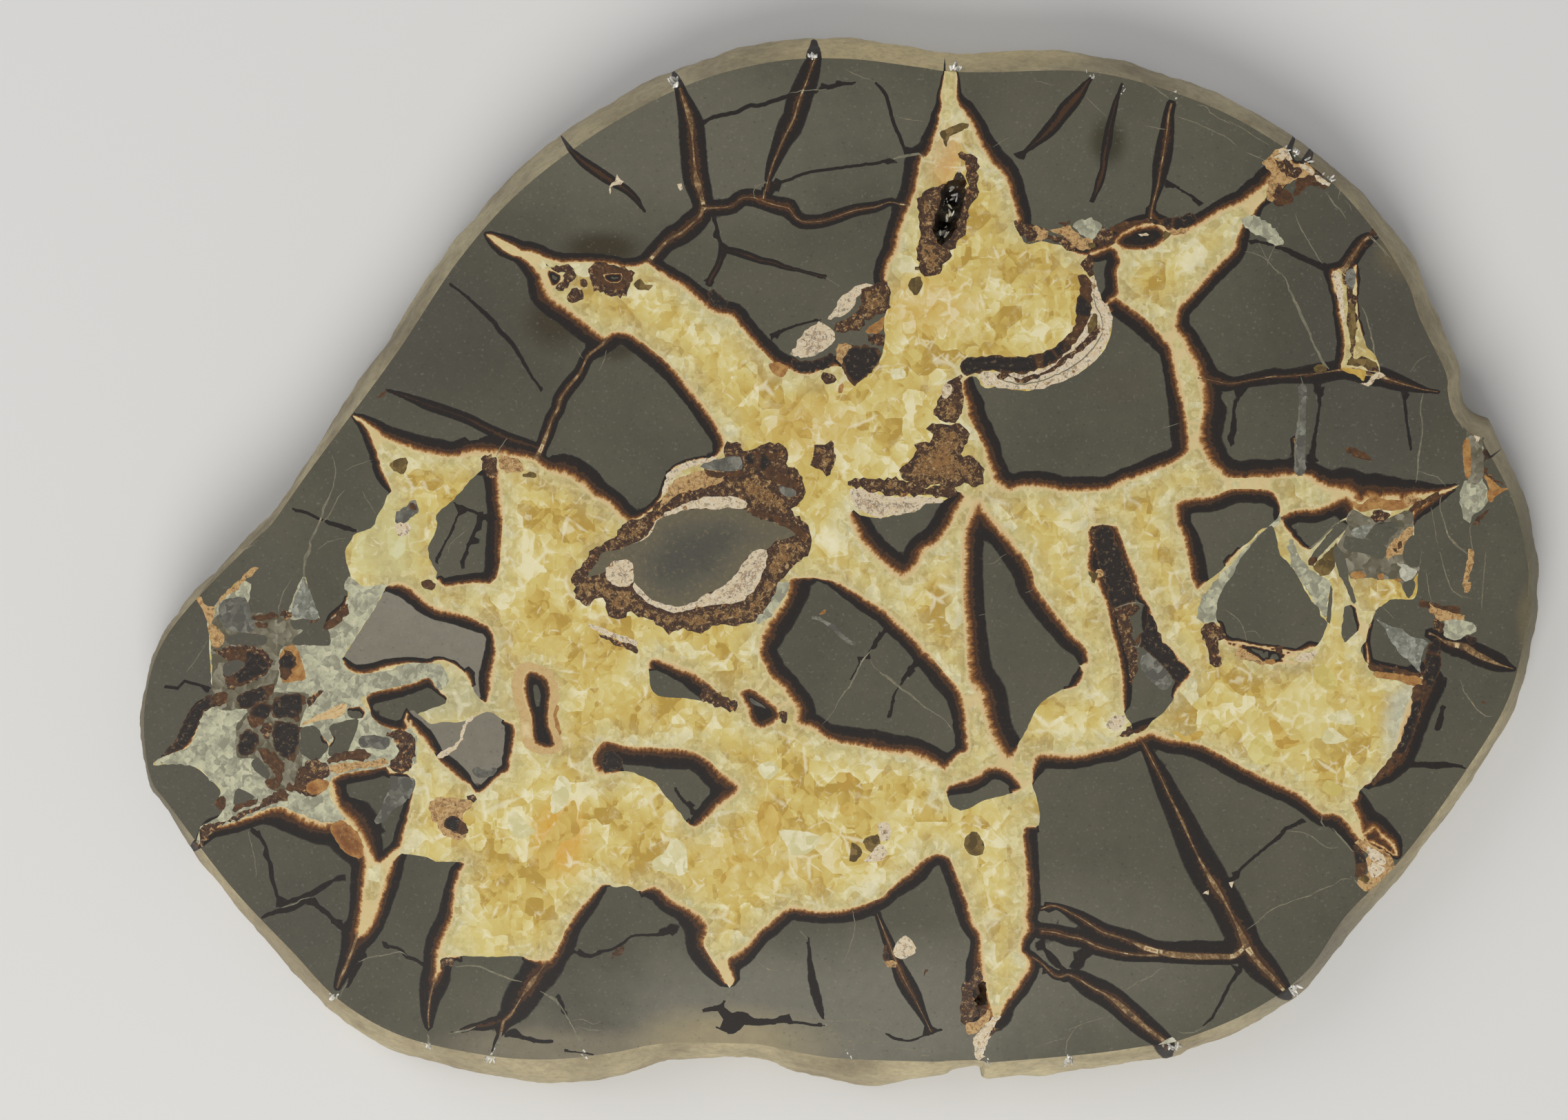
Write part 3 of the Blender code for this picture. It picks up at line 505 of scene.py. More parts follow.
mud 942 958 12,955 955 16,972 961 18,985 966 20,1000 971 22,1013 980 24,1025 990,1038 1002 20,1042 1015 8,
1030 1018 0,990 1012,965 1011,950 1006,943 992,941 975
tan 622 1168,628 1160,640 1156,670 1157,682 1158,686 1165,680 1175,672 1180,677 1205,675 1215,660 1217,
648 1212,640 1205,625 1185
dark 645 1195,650 1185,658 1182,675 1195,676 1207,670 1212,648 1202
crust 676 1154,686 1153,691 1159,686 1163,678 1159
honey 805 1195,815 1178,832 1160,838 1175,836 1190,842 1204,830 1216,815 1222,806 1238,800 1258,790 1264,
781 1256,780 1232,792 1212
honey 710 1272,728 1252,735 1262,716 1276
ivory 810 1125,828 1138,820 1168,802 1180,799 1160
ivory 736 1196,742 1175,757 1186,766 1196,776 1206,750 1216
ivory 960 1240,978 1215,995 1230,996 1262,985 1270,960 1262,950 1250
ivory 948 1246,965 1238,958 1262,946 1258
dvein 384 1240 3,392 1253 4,394 1270,398 1285 3,402 1298,408 1312 2
dvein 372 1334 1,385 1328 3,400 1322 4,420 1318 5,440 1308,450 1304 3
dvein 408 1313 2,420 1307 4,440 1300,455 1294 5,470 1285,483 1277 3,495 1272 1
dvein 450 1304 1,460 1314 2,475 1325,488 1338 1.5,500 1350 1
dvein 560 1372 1,575 1375 1.5,582 1380 2,590 1387 3,605 1393,618 1402
dvein 367 1205 2,378 1215 3,385 1228,386 1240
line 408 1316 1.2,425 1311 1.5,440 1303,448 1302 1
line 520 1395 1,540 1387 1.2,560 1385,580 1380 1.5,590 1386 1
line 492 1447 1,497 1435 1.5,503 1425 1
line 360 1205 .8,367 1235,370 1250,372 1270
vein 519 1352 3 24,512 1375 3 18,506 1390 3 14,500 1405 3 12,494 1418 2.5 9,489 1432 2 6
dvein 530 1385 3,520 1402,510 1418 2,504 1430 1
vein 632 1416 3 22,628 1430 2 20,624 1445 2 16,622 1460 1.5 13,621 1475 1.5 10,622 1490 1 6
crust 640 1390,655 1388,659 1395,654 1402,641 1401
vein 793 1394 1.2 27,782 1410,772 1423 6 24,765 1433 5 25,757 1445 1.2 25,748 1460 1.5 22,741 1471 3 16,
731 1480 2.5 13,728 1490 3 9,725 1503 2 4
vein 728 1480 1 8,715 1483 1 9,700 1488 1 7,685 1489 1 5,670 1494 .8 4,655 1497 .8 2
line 690 1488 2,680 1493 2.5,665 1496 2,650 1499 1
dvein 724 1475 5,712 1480 4,698 1484,688 1487 2
line 660 1402 1.5,680 1400,700 1403 2,720 1412,740 1420,757 1424 1.5
line 783 1437 1,795 1444 2.5,806 1450 4,810 1458 2
dvein 808 1447 1,817 1465 1.5,826 1480 1,832 1492
line 806 1448 1,820 1470,832 1492 1.5,838 1505 3,846 1525
line 830 1480 .8,845 1478,860 1485,872 1480
line 838 1488 1,855 1493 1.2,875 1494
dvein 725 1487 2,722 1500 3,718 1512 4,714 1525 2
line 728 1497 3,722 1512 4,714 1530 3
line 620 1500 3,623 1514 4
dvein 830 1380 1.5,845 1383 2,858 1385,872 1380,888 1377,900 1370 3,910 1362 2,922 1356,945 1356,
958 1354 1,972 1350 .8
dark 886 1390,888 1382,897 1374,906 1371,906 1379,897 1385,889 1389
dvein 740 1500 .8,760 1505,780 1511,800 1511
dvein 820 1524 .8,840 1526,860 1530,880 1537,900 1540,925 1541
dvein 1025 1465 .8,1050 1462
mud 859 1100 30,866 1085,876 1075,890 1077 28,905 1081 27,925 1083,945 1084 28,965 1085 30,985 1086,
1005 1090 26,1020 1097,1030 1105,1040 1114 28,1052 1124,1065 1131 26,1073 1140 20,1070 1150,1060 1158 22,
1050 1164 24,1040 1173 22,1028 1184 20,1015 1196 16,1007 1200 10,1000 1197 4,993 1188 0,975 1165,965 1155,
955 1140,945 1132,915 1119,900 1119 4,885 1122 20,875 1124 30,867 1123,862 1112
dark 884 1086,874 1092,872 1105,878 1119,890 1119,902 1112,902 1100,894 1092
dvein 980 1145 1,988 1157 1.2,1000 1170,1005 1178 1
crust 1020 989,1030 998,1038 1001,1048 1008,1068 1018,1070 1028,1066 1033,1045 1026,1018 1015
dark 1032 1003,1042 1006,1052 1011,1050 1019,1040 1016,1031 1011
mud 1072 1005 20,1082 999,1093 1000,1116 1015,1127 1026,1131 1036,1127 1046,1115 1053,1103 1056,1093 1052,
1086 1042,1083 1028,1076 1014 18
crust 1130 1034,1137 1031,1141 1038,1137 1046,1130 1045
grey 1088 1012,1100 1018,1112 1027,1104 1025,1090 1020
dvein 1245 955 1,1262 955
line 1264 942 1,1255 952 1.5,1245 970 1.8,1235 990,1222 1008 1.5,1210 1028 1,1200 1043 .8,1192 1050
line 1276 974 3,1285 981 3.5,1293 987 3,1303 996 2,1318 1006 2.5,1328 1014 2,1345 1028 1.5,1362 1038 1,
1376 1050,1381 1062 1.5
line 1262 955 1,1268 967,1276 974
dvein 1325 965 1,1316 978,1306 993,1298 1005,1294 1020,1290 1040 .8
honey 1217 1175,1228 1162,1238 1170,1240 1180,1228 1185
honey 1052 1245,1068 1238,1082 1240,1090 1248,1070 1252,1058 1262,1052 1275,1046 1282,1045 1272,1056 1258
umber 1253 1217,1272 1210,1277 1222,1268 1235,1256 1230
umber 1235 1222,1250 1232,1245 1245,1238 1250,1232 1248,1234 1235
umber 1400 1215,1412 1205,1420 1212,1427 1225,1425 1238,1410 1240,1400 1230
honey 1213 1125,1228 1122,1240 1130,1222 1148
honey 1104 1165,1115 1162,1130 1175,1133 1200,1120 1225,1108 1225,1100 1200,1098 1180
ivory 1100 1112,1112 1104,1125 1108,1128 1120,1118 1130,1105 1126
ivory 1130 1205,1165 1205,1190 1215,1175 1235,1148 1240,1140 1225
shell 1274 1193,1290 1195,1290 1215,1280 1220,1275 1208
shell 1262 1240,1275 1225,1285 1232,1282 1245,1265 1250,1252 1248
line 1058 1432 3,1057 1442 4,1054 1452 3,1052 1456 1
dvein 1052 1452 1,1045 1460 1.2,1030 1462 .8,1020 1466
mud 1020 1412 0,1030 1420,1045 1432,1035 1440,1020 1430
dvein 1060 1470 .8,1075 1468 1,1088 1474 1.5,1096 1480 1.2
dvein 1098 1478 1,1118 1479 1.5,1130 1476 2,1145 1472 1
dvein 1050 1478 .8,1070 1482 1,1095 1485 1.2,1125 1483,1155 1482 1,1180 1486,1200 1487 .8
line 1145 1472 .8,1160 1471 1,1200 1480,1225 1480,1250 1480 1.2,1270 1490,1285 1497 1
dvein 1285 1498 .8,1298 1506 1.2,1315 1509,1332 1505 1,1345 1500
dvein 1348 1499 1,1365 1494 2.5
dvein 1040 1490 1,1050 1495,1062 1497 1.2,1072 1492 .8
line 1225 1508 1,1245 1512,1265 1512,1280 1510
line 1295 1520 1,1320 1522,1345 1520
line 1335 1530 1.5,1355 1530
dvein 1172 1362 1,1174 1380 3,1175 1400 5,1178 1420 7,1183 1440 8,1187 1455 7,1192 1470 5,1195 1478 3
line 1195 1480 3,1203 1492,1213 1505,1222 1517,1230 1527 1.5
vein 1272 1325 .5 4,1280 1345 1 6,1288 1365 2 8,1295 1383 1.5 9,1302 1400 2 10,1312 1422 1 13,
1325 1445 .5 12,1335 1465 .4 8,1345 1485 .3 5,1350 1496 .3 3
dark 1282 1370,1288 1378,1290 1392,1283 1394,1280 1385
shell 1313 1356,1322 1364,1329 1378,1324 1384,1314 1389,1302 1389,1297 1383,1298 1372,1303 1364
tan 1283 1395,1290 1392,1302 1396,1299 1402,1288 1402
line 1236 1320 1,1240 1345,1235 1365,1228 1385,1222 1396
line 1095 1392 1,1110 1403 1.2,1125 1408,1145 1405 1,1158 1409
line 1160 1350 1,1168 1358 1.2,1172 1362 1
dark 1338 1410,1346 1405,1345 1412,1340 1416
mud 1393 1470 0,1392 1450,1397 1420,1400 1415,1418 1428,1424 1440,1418 1452,1420 1465,1410 1480,1398 1484
crust 1396 1424,1408 1420,1420 1400,1424 1420,1412 1440,1418 1455,1419 1470,1408 1482,1396 1484,1393 1465,
1394 1445
void 1418 1428,1429 1426,1431 1445,1434 1459,1424 1458,1413 1452,1420 1440
dark 1421 1462,1431 1464,1430 1476,1421 1478
tan 1400 1488,1420 1478,1432 1466,1438 1470,1435 1480,1420 1495,1405 1500
shell 1446 1472,1452 1472,1440 1492,1425 1532,1415 1534,1416 1505,1430 1485
crust 1440 1490,1450 1490,1440 1500,1432 1505
shell 1412 1505,1425 1500,1425 1530,1432 1530,1420 1536,1415 1530
vein 1650 1065 .5 6,1662 1085 1 8,1672 1105 1.2 10,1684 1128 1.2 14,1694 1150 1.5 16,1705 1172 2.5 18,
1716 1195 3 20,1727 1220 1.5 22,1738 1243 2 24,1752 1268 4 25,1762 1285 6 24,1775 1305 3 24,1788 1330 2 24,
1798 1350 5 24,1806 1368 8 22,1816 1385 6 22,1830 1402 5 22,1845 1417 5 18,1858 1432 4 14,1868 1443 3 8
vein 1806 1372 5 14,1790 1386 6 12,1770 1387,1745 1387 7 12,1720 1386,1700 1384 7 13,1680 1380 6 15,
1660 1374 6 16,1640 1365 2 16,1620 1358 2 14,1600 1352,1585 1343 1.5 13,1570 1333 1 11,1555 1325 1 9,
1540 1317 1 6,1525 1313 1 4,1510 1318 1 3
dvein 1800 1372 3,1780 1372 9,1755 1371 8,1730 1370,1700 1372,1670 1366 7
vein 1510 1350 1 12,1530 1352,1550 1358 1.5 14,1570 1362 2 13,1590 1372,1610 1378 1.5 12,1630 1382,
1650 1385 1.5 10,1680 1385 3 10
vein 1497 1388 1 8,1512 1398 1 5,1528 1414 1.5 4,1540 1416 2 4,1548 1413 2 8,1565 1420 1.5 14,
1582 1431 2 17,1600 1440 2 18,1618 1452 5 18,1632 1464 7 18,1648 1478 6 18,1662 1490 5 17,1678 1502 4 15,
1692 1513 4 12
dvein 1512 1372 5,1520 1382 6,1530 1395 7,1542 1405 6
dvein 1560 1396 1,1568 1390,1576 1382,1586 1378
dvein 1803 1395 1.5,1795 1408 2,1785 1425 2.5,1777 1440 3,1768 1458 2.5,1758 1475 2,1745 1488
line 1750 1487 1.2,1738 1495,1722 1498,1708 1496 1
dvein 1788 1275 2,1798 1262 2.5,1812 1248,1828 1235,1842 1223,1860 1208 2
line 1808 1348 1,1825 1336,1840 1322,1860 1310
line 1630 1438 1,1650 1424 1.2,1665 1418,1685 1403 1
line 1560 1490 1,1548 1510 1.2,1546 1530 1.5
line 1545 1495 .8,1570 1485,1600 1476
line 1500 1520 .8,1520 1512,1545 1505
shell 1783 1280,1790 1278,1786 1286
shell 1744 1296,1752 1292,1752 1297
fringe 1676 1518,1690 1508,1700 1504,1712 1515,1708 1520,1680 1524
grey 1662 985,1680 984,1690 990,1680 1010,1665 1020,1660 1000
grey 1688 985,1700 990,1695 1010,1690 1025,1684 1030,1682 1015,1692 1000
crust 1618 1068,1632 1058,1640 1048,1646 1042,1648 1055,1640 1065,1628 1072
shell 1606 1046,1618 1038,1630 1038,1632 1045,1625 1056,1615 1060,1604 1052
ivory 1724 1005,1735 1002,1738 1012,1730 1018
straw 1810 1085,1830 1065,1847 1098,1832 1110,1815 1102
straw 1752 1050,1765 1042,1772 1052,1768 1062,1756 1060
honey 1700 1060,1722 1066,1738 1060,1745 1062,1738 1072,1718 1075
mud 1420 722 30,1430 738 28,1442 754,1455 766,1485 808,1498 832,1502 850 26,1530 888,1545 905 25,
1553 918 24,1566 930 22,1576 941 20,1580 952 18,1577 962 10,1565 965 0,1572 975 8,1568 988 14,1562 995 10,
1550 998 4,1540 1000 0,1520 1012,1503 1028,1487 1062,1478 1076,1476 1086 10,1470 1098 22,1462 1105 28,
1455 1100 32,1445 1085 36,1436 1068,1430 1050,1425 1030 38,1420 1013 40,1412 999,1404 985 38,1402 958 34,
1401 935 32,1400 913 30,1397 867,1395 822,1397 776,1402 754,1410 735
line 1430 818 1,1442 816,1452 808,1460 803
line 1487 860 1,1498 855
line 1430 890 1,1420 893
mud 1578 772 12,1583 763 6,1600 761 2,1615 762 10,1620 763 18,1630 790,1640 815,1648 830 16,1652 845 14,
1656 860 12,1663 872 8,1668 880 6,1672 890 16,1677 905 20,1682 920 22,1690 932 20,1700 940 22,1712 955 20,
1722 966 18,1728 975,1722 985 14,1708 1000 8,1698 1020 0,1685 1035,1672 1045,1660 1058,1645 1064,1641 1050,
1632 1036,1628 1020 12,1628 1000 14,1627 980,1621 945,1616 930 16,1612 915 18,1606 884,1592 848,1588 838,
1580 830 16,1576 818,1577 805,1580 790 14
crust 1583 768,1592 762,1612 764,1618 785,1640 830,1648 850,1645 876,1655 882,1640 895,1642 920,1650 950,
1640 990,1636 960,1626 930,1620 905,1612 885,1606 860,1598 830,1590 805,1586 785
dark 1588 768,1610 765,1622 792,1638 830,1645 860,1644 875,1620 882,1610 880,1605 850,1596 825,1590 800
dark 1664 890,1672 894,1680 915,1690 935,1700 945,1712 962,1724 975,1710 990,1698 985,1685 965,1665 945,
1650 935,1648 925,1660 915
line 1616 883 1.5,1630 877,1648 874,1660 878
line 1640 935 2,1650 938 1.5,1655 925 1
grey 1660 945,1680 960,1700 985,1690 1000,1670 990,1655 970
tan 1592 838,1588 828,1596 826,1600 835
umber 1578 828,1592 832,1590 842,1584 846,1582 838
mud 1705 730 22,1712 726,1722 723,1760 719,1780 711,1800 709 20,1840 711,1850 720 16,1856 733 6,1856 746 0,
1848 756,1838 764,1825 770,1815 782,1803 792,1792 803 3,1782 815,1770 828 0,1760 836,1748 845 2,
1742 851 10,1736 855 18,1732 850 22,1728 838 24,1722 805,1719 795,1716 780 22,1710 768 20,1705 756 22,
1703 742 24
mud 1844 762 0,1850 775,1857 805,1870 818,1885 840,1890 852,1903 872,1912 880,1915 893,1925 903,1916 928,
1910 935,1905 938 10,1890 944 8,1880 945 4,1865 948 6,1855 946 4,1835 940,1808 935,1795 933 6,1780 930 8,
1772 922,1768 905 6,1764 900 0,1764 888,1767 870,1775 850,1790 830,1796 815,1828 775
crust 1764 903,1755 902,1745 908,1742 918,1750 940,1752 955,1757 965,1772 965,1768 945,1768 930,1775 925,
1772 912
line 1776 882 1,1785 890,1797 900,1803 912,1808 930
line 1805 917 1,1820 915,1828 925
mud 1775 930,1800 932,1830 938,1850 940,1880 948,1860 955,1880 962,1865 960,1845 962,1830 958,1800 940,
1790 938
tan 1790 948,1800 940,1830 958,1842 960,1835 963,1800 955
amber 1835 956,1850 958,1845 964,1836 963
dark 1850 940,1862 938,1860 947,1852 946
shell 1885 950,1900 946,1910 942,1905 955,1890 960,1880 958
mud 1606 440 10,1618 432 20,1630 438 24,1640 447,1650 453,1670 470,1680 480 22,1688 490,1696 498 20,
1702 512,1708 540,1712 558 22,1717 575 24,1719 595,1722 612 26,1726 645,1724 655 24,1718 662 22,
1706 670 20,1690 677 22,1675 683,1655 691 20,1640 696,1615 707,1600 711,1580 713 22,1560 714,1540 713,
1520 709 24,1500 707,1482 707 22,1470 711 20,1460 712 26,1442 700,1436 685,1429 665 24,1427 649,1411 617,
1404 604 25,1402 590,1398 575 22,1395 555 16,1410 545 0,1420 552,1428 563,1450 560,1475 566,1500 565,
1550 548,1570 538,1590 520,1605 500,1612 480,1612 460
shell 1580 402,1588 400,1598 430,1606 440,1612 460,1610 480,1605 498,1592 518,1575 533,1552 548,1525 558,
1500 565,1455 562,1430 555,1418 545,1422 538,1435 540,1443 538,1480 541,1500 538,1520 530,1550 508,
1562 492,1580 460,1584 440,1582 420
umber 1578 470,1586 455,1592 458,1590 475,1585 485,1578 483
crust 1585 478,1592 470,1595 480,1588 490,1560 515,1545 527,1510 545,1495 552,1480 555,1470 548,1455 550,
1445 545,1460 543,1480 548,1500 543,1520 533,1560 505,1575 490
line 1450 550 1.5,1480 557,1510 552,1540 540,1565 525,1585 505,1600 480
line 1585 425 1.2,1590 445,1597 460,1599 478
dark 1430 515,1470 518,1505 513,1535 497,1558 476,1560 445,1566 415,1563 400,1575 398,1583 410,1583 440,
1578 465,1552 505,1530 525,1500 538,1470 542,1440 538,1420 540,1398 545,1394 524
mud 1576 372 0,1590 366 14,1612 358,1620 365 18,1625 380,1620 395,1622 425,1615 433 14,1602 440 4,
1595 425 0,1584 392,1580 380
crust 1574 372,1583 368,1586 382,1584 398,1576 400,1570 388
vein 1737 548 2 20,1750 550 .8 18,1765 553 .5 15,1778 556 .5 12,1795 555 .5 9,1815 551 .5 10,
1835 548 .5 11,1850 545 .5 12
line 1685 622 1,1697 618,1710 613
dvein 1808 560 1,1798 575,1790 595,1790 620,1785 640 .8
vein 1879 635 5 8,1882 655 5 9,1884 675 6 9,1886 690 7 10
mud 1857 750 6,1864 745 18,1880 740,1900 738 20,1915 736,1945 720,1957 720,1965 730 18,1962 742 10,
1958 748 0,1945 755,1918 780,1905 793,1895 797 6,1885 790 8,1875 780,1866 768,1860 758 6
crop 1870 690 4.9
murk 440 240,560 290,700 300,860 240,882 330,875 420,935 520,930 640,882 740,880 800,842 850,790 760,
740 732,640 742,560 722,440 722,350 540,330 500,380 420,400 330
pale 0 440,60 560,130 640,200 700,300 760,270 900,250 1000,130 820,0 610
mud 135 605 0,250 440,370 320,412 330,400 375,300 480,200 590,175 628,140 628
dark 132 605,165 570,198 602,165 632,138 630
umber 170 640,310 500,340 485,312 660,240 712,190 682
mud 308 540 0,345 500,412 640,420 740,472 860,472 908,440 890,400 790,360 710,335 640
mud 400 420 0,470 440,560 452,680 500,692 540,660 592,560 560,390 520,392 460
mud 580 390 0,610 345,700 330,770 335,762 400,712 440,690 490,545 440
blue 470 370,570 350,562 400,520 450,462 430,430 400
tan 720 480,790 420,850 360,875 370,868 430,822 470,802 560,742 572,702 600,688 540
dark 768 480,800 462,802 508,775 518
dark 735 518,762 514,756 538,738 538
mud 830 470 0,882 420,932 520,928 620,902 652,842 632,802 580,815 510
fringe 758 612,890 662,908 690,862 738,820 748,780 700,788 650
mud 810 760 0,882 740,892 800,850 872,820 830,800 790
amber 430 700,480 678,545 700,522 732,450 732
amber 628 708,662 698,668 738,640 742
amber 742 732,798 734,780 758,748 752
amber 450 180,520 200,590 140,690 165,820 175,850 215,790 240,700 245,600 235,520 260,470 230
crust 590 255,650 235,715 260,700 300,640 330,590 310
tan 820 150,880 135,945 160,900 200,850 215,820 190
dark 850 240,900 190,1060 120,1075 138,950 212,870 255
mud 390 930 0,460 925 4,480 990 5,500 1080 4,450 1130 0,390 1180,368 1100,380 1020
mud 278 850 0,300 780,302 900,290 1050,265 1040,270 950
mud 690 900 0,760 870,960 950,1040 1010,1052 1040,1000 1090,1002 1140,960 1162,860 1130,690 1040,722 1000,
742 1018,682 930
mud 608 960 0,680 925,740 1020,720 1022,640 990
blue 608 1008,700 1058,800 1088,860 1140,960 1160,992 1190,952 1240,932 1330,930 1405,860 1330,790 1270,
730 1190,690 1110,640 1042
mud 570 1060 0,600 1025,640 1050,690 1120,730 1200,795 1280,870 1345,930 1412,780 1378,570 1345,520 1270,
510 1220,560 1150
dark 568 1340,780 1368,928 1408,945 1432,860 1430,620 1400,578 1375
amber 598 1392,760 1408,950 1440,952 1475,880 1488,760 1452,620 1432
dark 1010 1180,1068 1160,1078 1300,1060 1420,1010 1500,950 1568,905 1568,940 1480,975 1240
crop 0 0 1
line 1898 796 2.5,1912 785 2,1928 768 1.5,1942 757,1952 754 1
dark 2060 870,2090 876,2105 878,2116 884,2114 892,2085 884,2068 882,2058 878
tan 2075 872,2078 880,2115 890,2125 895,2118 902,2085 900,2080 892,2072 888
crust 2080 900,2092 900,2095 908,2090 918,2080 912
pale 2098 900,2120 900,2138 905,2140 915,2118 925,2105 928,2095 920
dark 2125 922,2135 922,2142 928,2138 935,2128 932
vein 2072 918 3 8,2082 922 1 10,2095 930 3 12,2110 935 6 14,2125 938 8 14,2140 948 7 15,2155 955 6 14,
2170 962 3 12,2182 966 1.5 9,2195 970 .5 4
dvein 2130 930 3,2145 936 5,2160 945 6,2175 952,2188 962 4,2198 970 1
dvein 2078 928 7,2095 938,2112 948,2120 952 5
murk 2123 640,2136 640,2140 660,2145 690,2130 700,2124 690,2122 665
pale 2140 640,2150 640,2148 690,2156 705,2160 720,2150 738,2138 745,2132 760,2122 752,2118 735,2118 715,
2124 698,2140 690
amber 2152 690,2162 690,2168 700,2178 708,2190 705,2198 698,2198 703,2172 718,2162 728,2155 720,2160 708
dark 2150 682,2158 680,2160 688,2172 698,2182 704,2174 702,2160 694
dark 2150 745,2160 738,2148 755,2136 762,2140 752
dvein 2152 668 3,2158 664 4,2166 660 2
line 2133 760 1.5,2132 775 1,2135 790 1.5,2136 800 3
line 2092 716 1,2088 735 1.2,2094 755 1.5,2100 775 2,2110 788 3,2120 797 2,2128 803 3
tan 2128 806,2134 795,2139 800,2138 812,2133 825,2127 850,2122 850,2122 838,2126 825
tan 2122 850,2132 845,2131 855,2124 858
line 2061 640 1.2,2058 660,2056 675 1.5,2056 682,2054 700 1.2
line 2057 683 1,2072 688 1.2,2085 692 1,2097 705
line 2075 735 .8,2080 760,2085 790
line 2088 800 1,2095 825 1.2,2103 850 1.5,2112 860,2122 865 1,2135 868
line 2068 830 1,2072 855,2076 875
line 2155 800 1,2152 830,2150 860,2148 885
line 2005 880 1,2015 890,2022 897
vein 1583 112 .5 2,1575 122 .5 5,1566 135 .5 8,1556 147 .5 10,1546 158 .5 11,1537 170 .5 10,1525 185,
1512 198 .4 8,1498 210 .3 5,1485 222 .3 3,1474 236 .2 1
vein 1627 122 .5 2,1619 145 .5 4,1614 165 .5 5,1609 185 1 6,1606 205 1 7,1602 225 1 6,1600 245 1 5,
1595 262 .8 6,1589 280 .7 4,1580 298 .7 1.5,1578 316 1.2 1.8
vein 1699 150 2 7,1695 165 2 8,1693 185 1.5 10,1690 205 1.5 12,1687 225 1.5 13,1683 245 1.5 12,
1680 265 1.5 9,1675 285 1.2 6,1671 300 1.5 4,1669 315 2 4,1670 323 3 6
dvein 1698 172 3,1700 190,1698 205
crust 1471 322,1500 325,1512 330,1520 340,1512 348,1500 352,1490 352,1473 330
tan 1495 328,1512 332,1520 340,1510 350,1500 350,1505 340
tan 1520 332,1535 332,1548 326,1566 342,1580 345,1585 355,1575 362,1555 358,1545 345,1532 338
crust 1522 342,1540 342,1552 350,1558 362,1548 362,1535 354,1523 350
dark 1532 324,1550 322,1552 325,1540 327
pale 1556 324,1565 319,1578 317,1590 320,1597 327,1598 334,1590 338,1585 350,1562 333
crust 1592 338,1600 330,1612 336,1619 340,1616 350,1600 354,1586 354
umber 1577 352,1588 352,1590 358,1580 360
mud 1619 348 16,1628 340,1640 333,1655 328,1672 325,1685 329,1694 337,1695 343,1685 352,1672 360,1650 362,
1632 361,1622 355
shell 1652 340,1662 338,1667 340,1655 342
umber 1690 335,1698 338,1694 345,1688 350,1686 342
dark 1610 330,1645 320,1665 316,1680 318,1720 312,1730 310,1735 318,1728 328,1715 333,1700 332,1670 323,
1650 327,1622 337
tan 1698 330,1712 332,1722 330,1718 338,1705 340,1697 336
shell 1840 232,1852 226,1862 222,1862 235,1850 240
tan 1830 235,1845 228,1862 235,1862 262,1848 258,1842 250,1838 243
crust 1850 232,1862 232,1862 250,1853 244
line 1663 122 1.5,1678 130,1695 143
line 1735 152 1,1750 155 1.2,1755 163,1770 172,1785 180 1
line 1705 168 1,1725 175 1.2,1742 182 1,1760 190,1780 200,1795 213
line 1660 182 1,1675 185,1690 188 1.5
line 1806 220 1,1820 226 1.5,1835 233
line 1575 140 .8,1590 155,1605 170
line 1780 175 .8,1800 185,1820 198,1840 210 1
line 1500 117 .8,1515 120 1,1530 123 .8
line 1440 214 .8,1452 205,1465 198
ivory 1448 99,1455 95,1458 98,1452 102
dvein 1700 268 .8,1720 280,1738 292
dark 1850 272,1858 268,1862 300,1856 300,1848 292
pale 1800 318,1815 312,1830 318,1845 330,1858 345,1862 355,1850 355,1835 345,1818 338,1806 330
dvein 1815 350 1.5,1830 352 2,1845 355 2.5,1862 362 2
line 1838 385 1.5,1842 370 1,1850 355
line 1805 365 1,1820 368,1835 375,1855 398
vein 1985 344 3 8,1975 352 2 11,1966 365 3 12,1958 377 5 12,1952 388 6 14,1946 394 8 14
dvein 2000 342 2,1992 347 4,1982 358
dvein 1850 358 2,1865 362 4,1880 370 5,1908 382,1920 387 7,1932 392 6,1942 395 3
line 1898 350 1,1905 362 1.2,1912 375 1.5,1918 382
calcite 1933 393 12,1942 391 4,1952 400,1960 393 3,1967 385 2,1966 400 3,1967 420 4,1968 440 3,1970 460 2,
1973 475 3,1978 490 1,1983 505 0,1994 515,2001 540,1970 534,1945 534 6,1948 520 12,1951 500,1949 480,
1945 460 11,1942 440 10,1937 420 9,1934 405 10
crust 1946 395,1955 402,1965 398,1962 420,1967 430,1966 450,1969 470,1962 510,1966 522,1975 520,1996 525,
1998 538,1985 536,1968 530,1952 530,1958 515,1960 495,1955 470,1952 425,1950 410
umber 1955 440,1964 442,1966 465,1966 485,1962 500,1957 490,1956 465
umber 1955 522,1975 520,1994 524,1996 534,1975 531,1955 528
grey 1952 395,1963 390,1966 405,1962 420,1955 415
shell 1934 398,1942 396,1950 440,1951 465,1948 470,1937 418
line 1975 446 2,1980 455 1.5,1984 470,1988 485 1.8,1992 500 2,1994 515
vein 1835 547 .8 11,1855 546 .8 10,1875 545 .8 11,1895 543 .8 13,1915 541 1 15,1932 538 1.2 14,
1948 536 3 14,1965 537 6 16,1980 541,1993 545 1.5 15,2005 547 3 14,2020 552 1.5 13,2035 557 1 11,
2050 561 .8 8,2065 565 .6 5,2085 568 .3 2
shell 1972 555,1982 556,1990 544,2000 540,2008 545,1995 550,1990 558,1984 560
honey 1945 533,1965 535,1980 538,1978 552,1972 548,1962 542,1948 538
umber 1905 533,1920 527,1925 536,1910 542
line 1886 545 1,1890 560 2
grey 1884 558,1894 558,1895 575,1893 590,1894 630,1893 655,1892 685,1878 685,1877 660,1878 640,1884 590
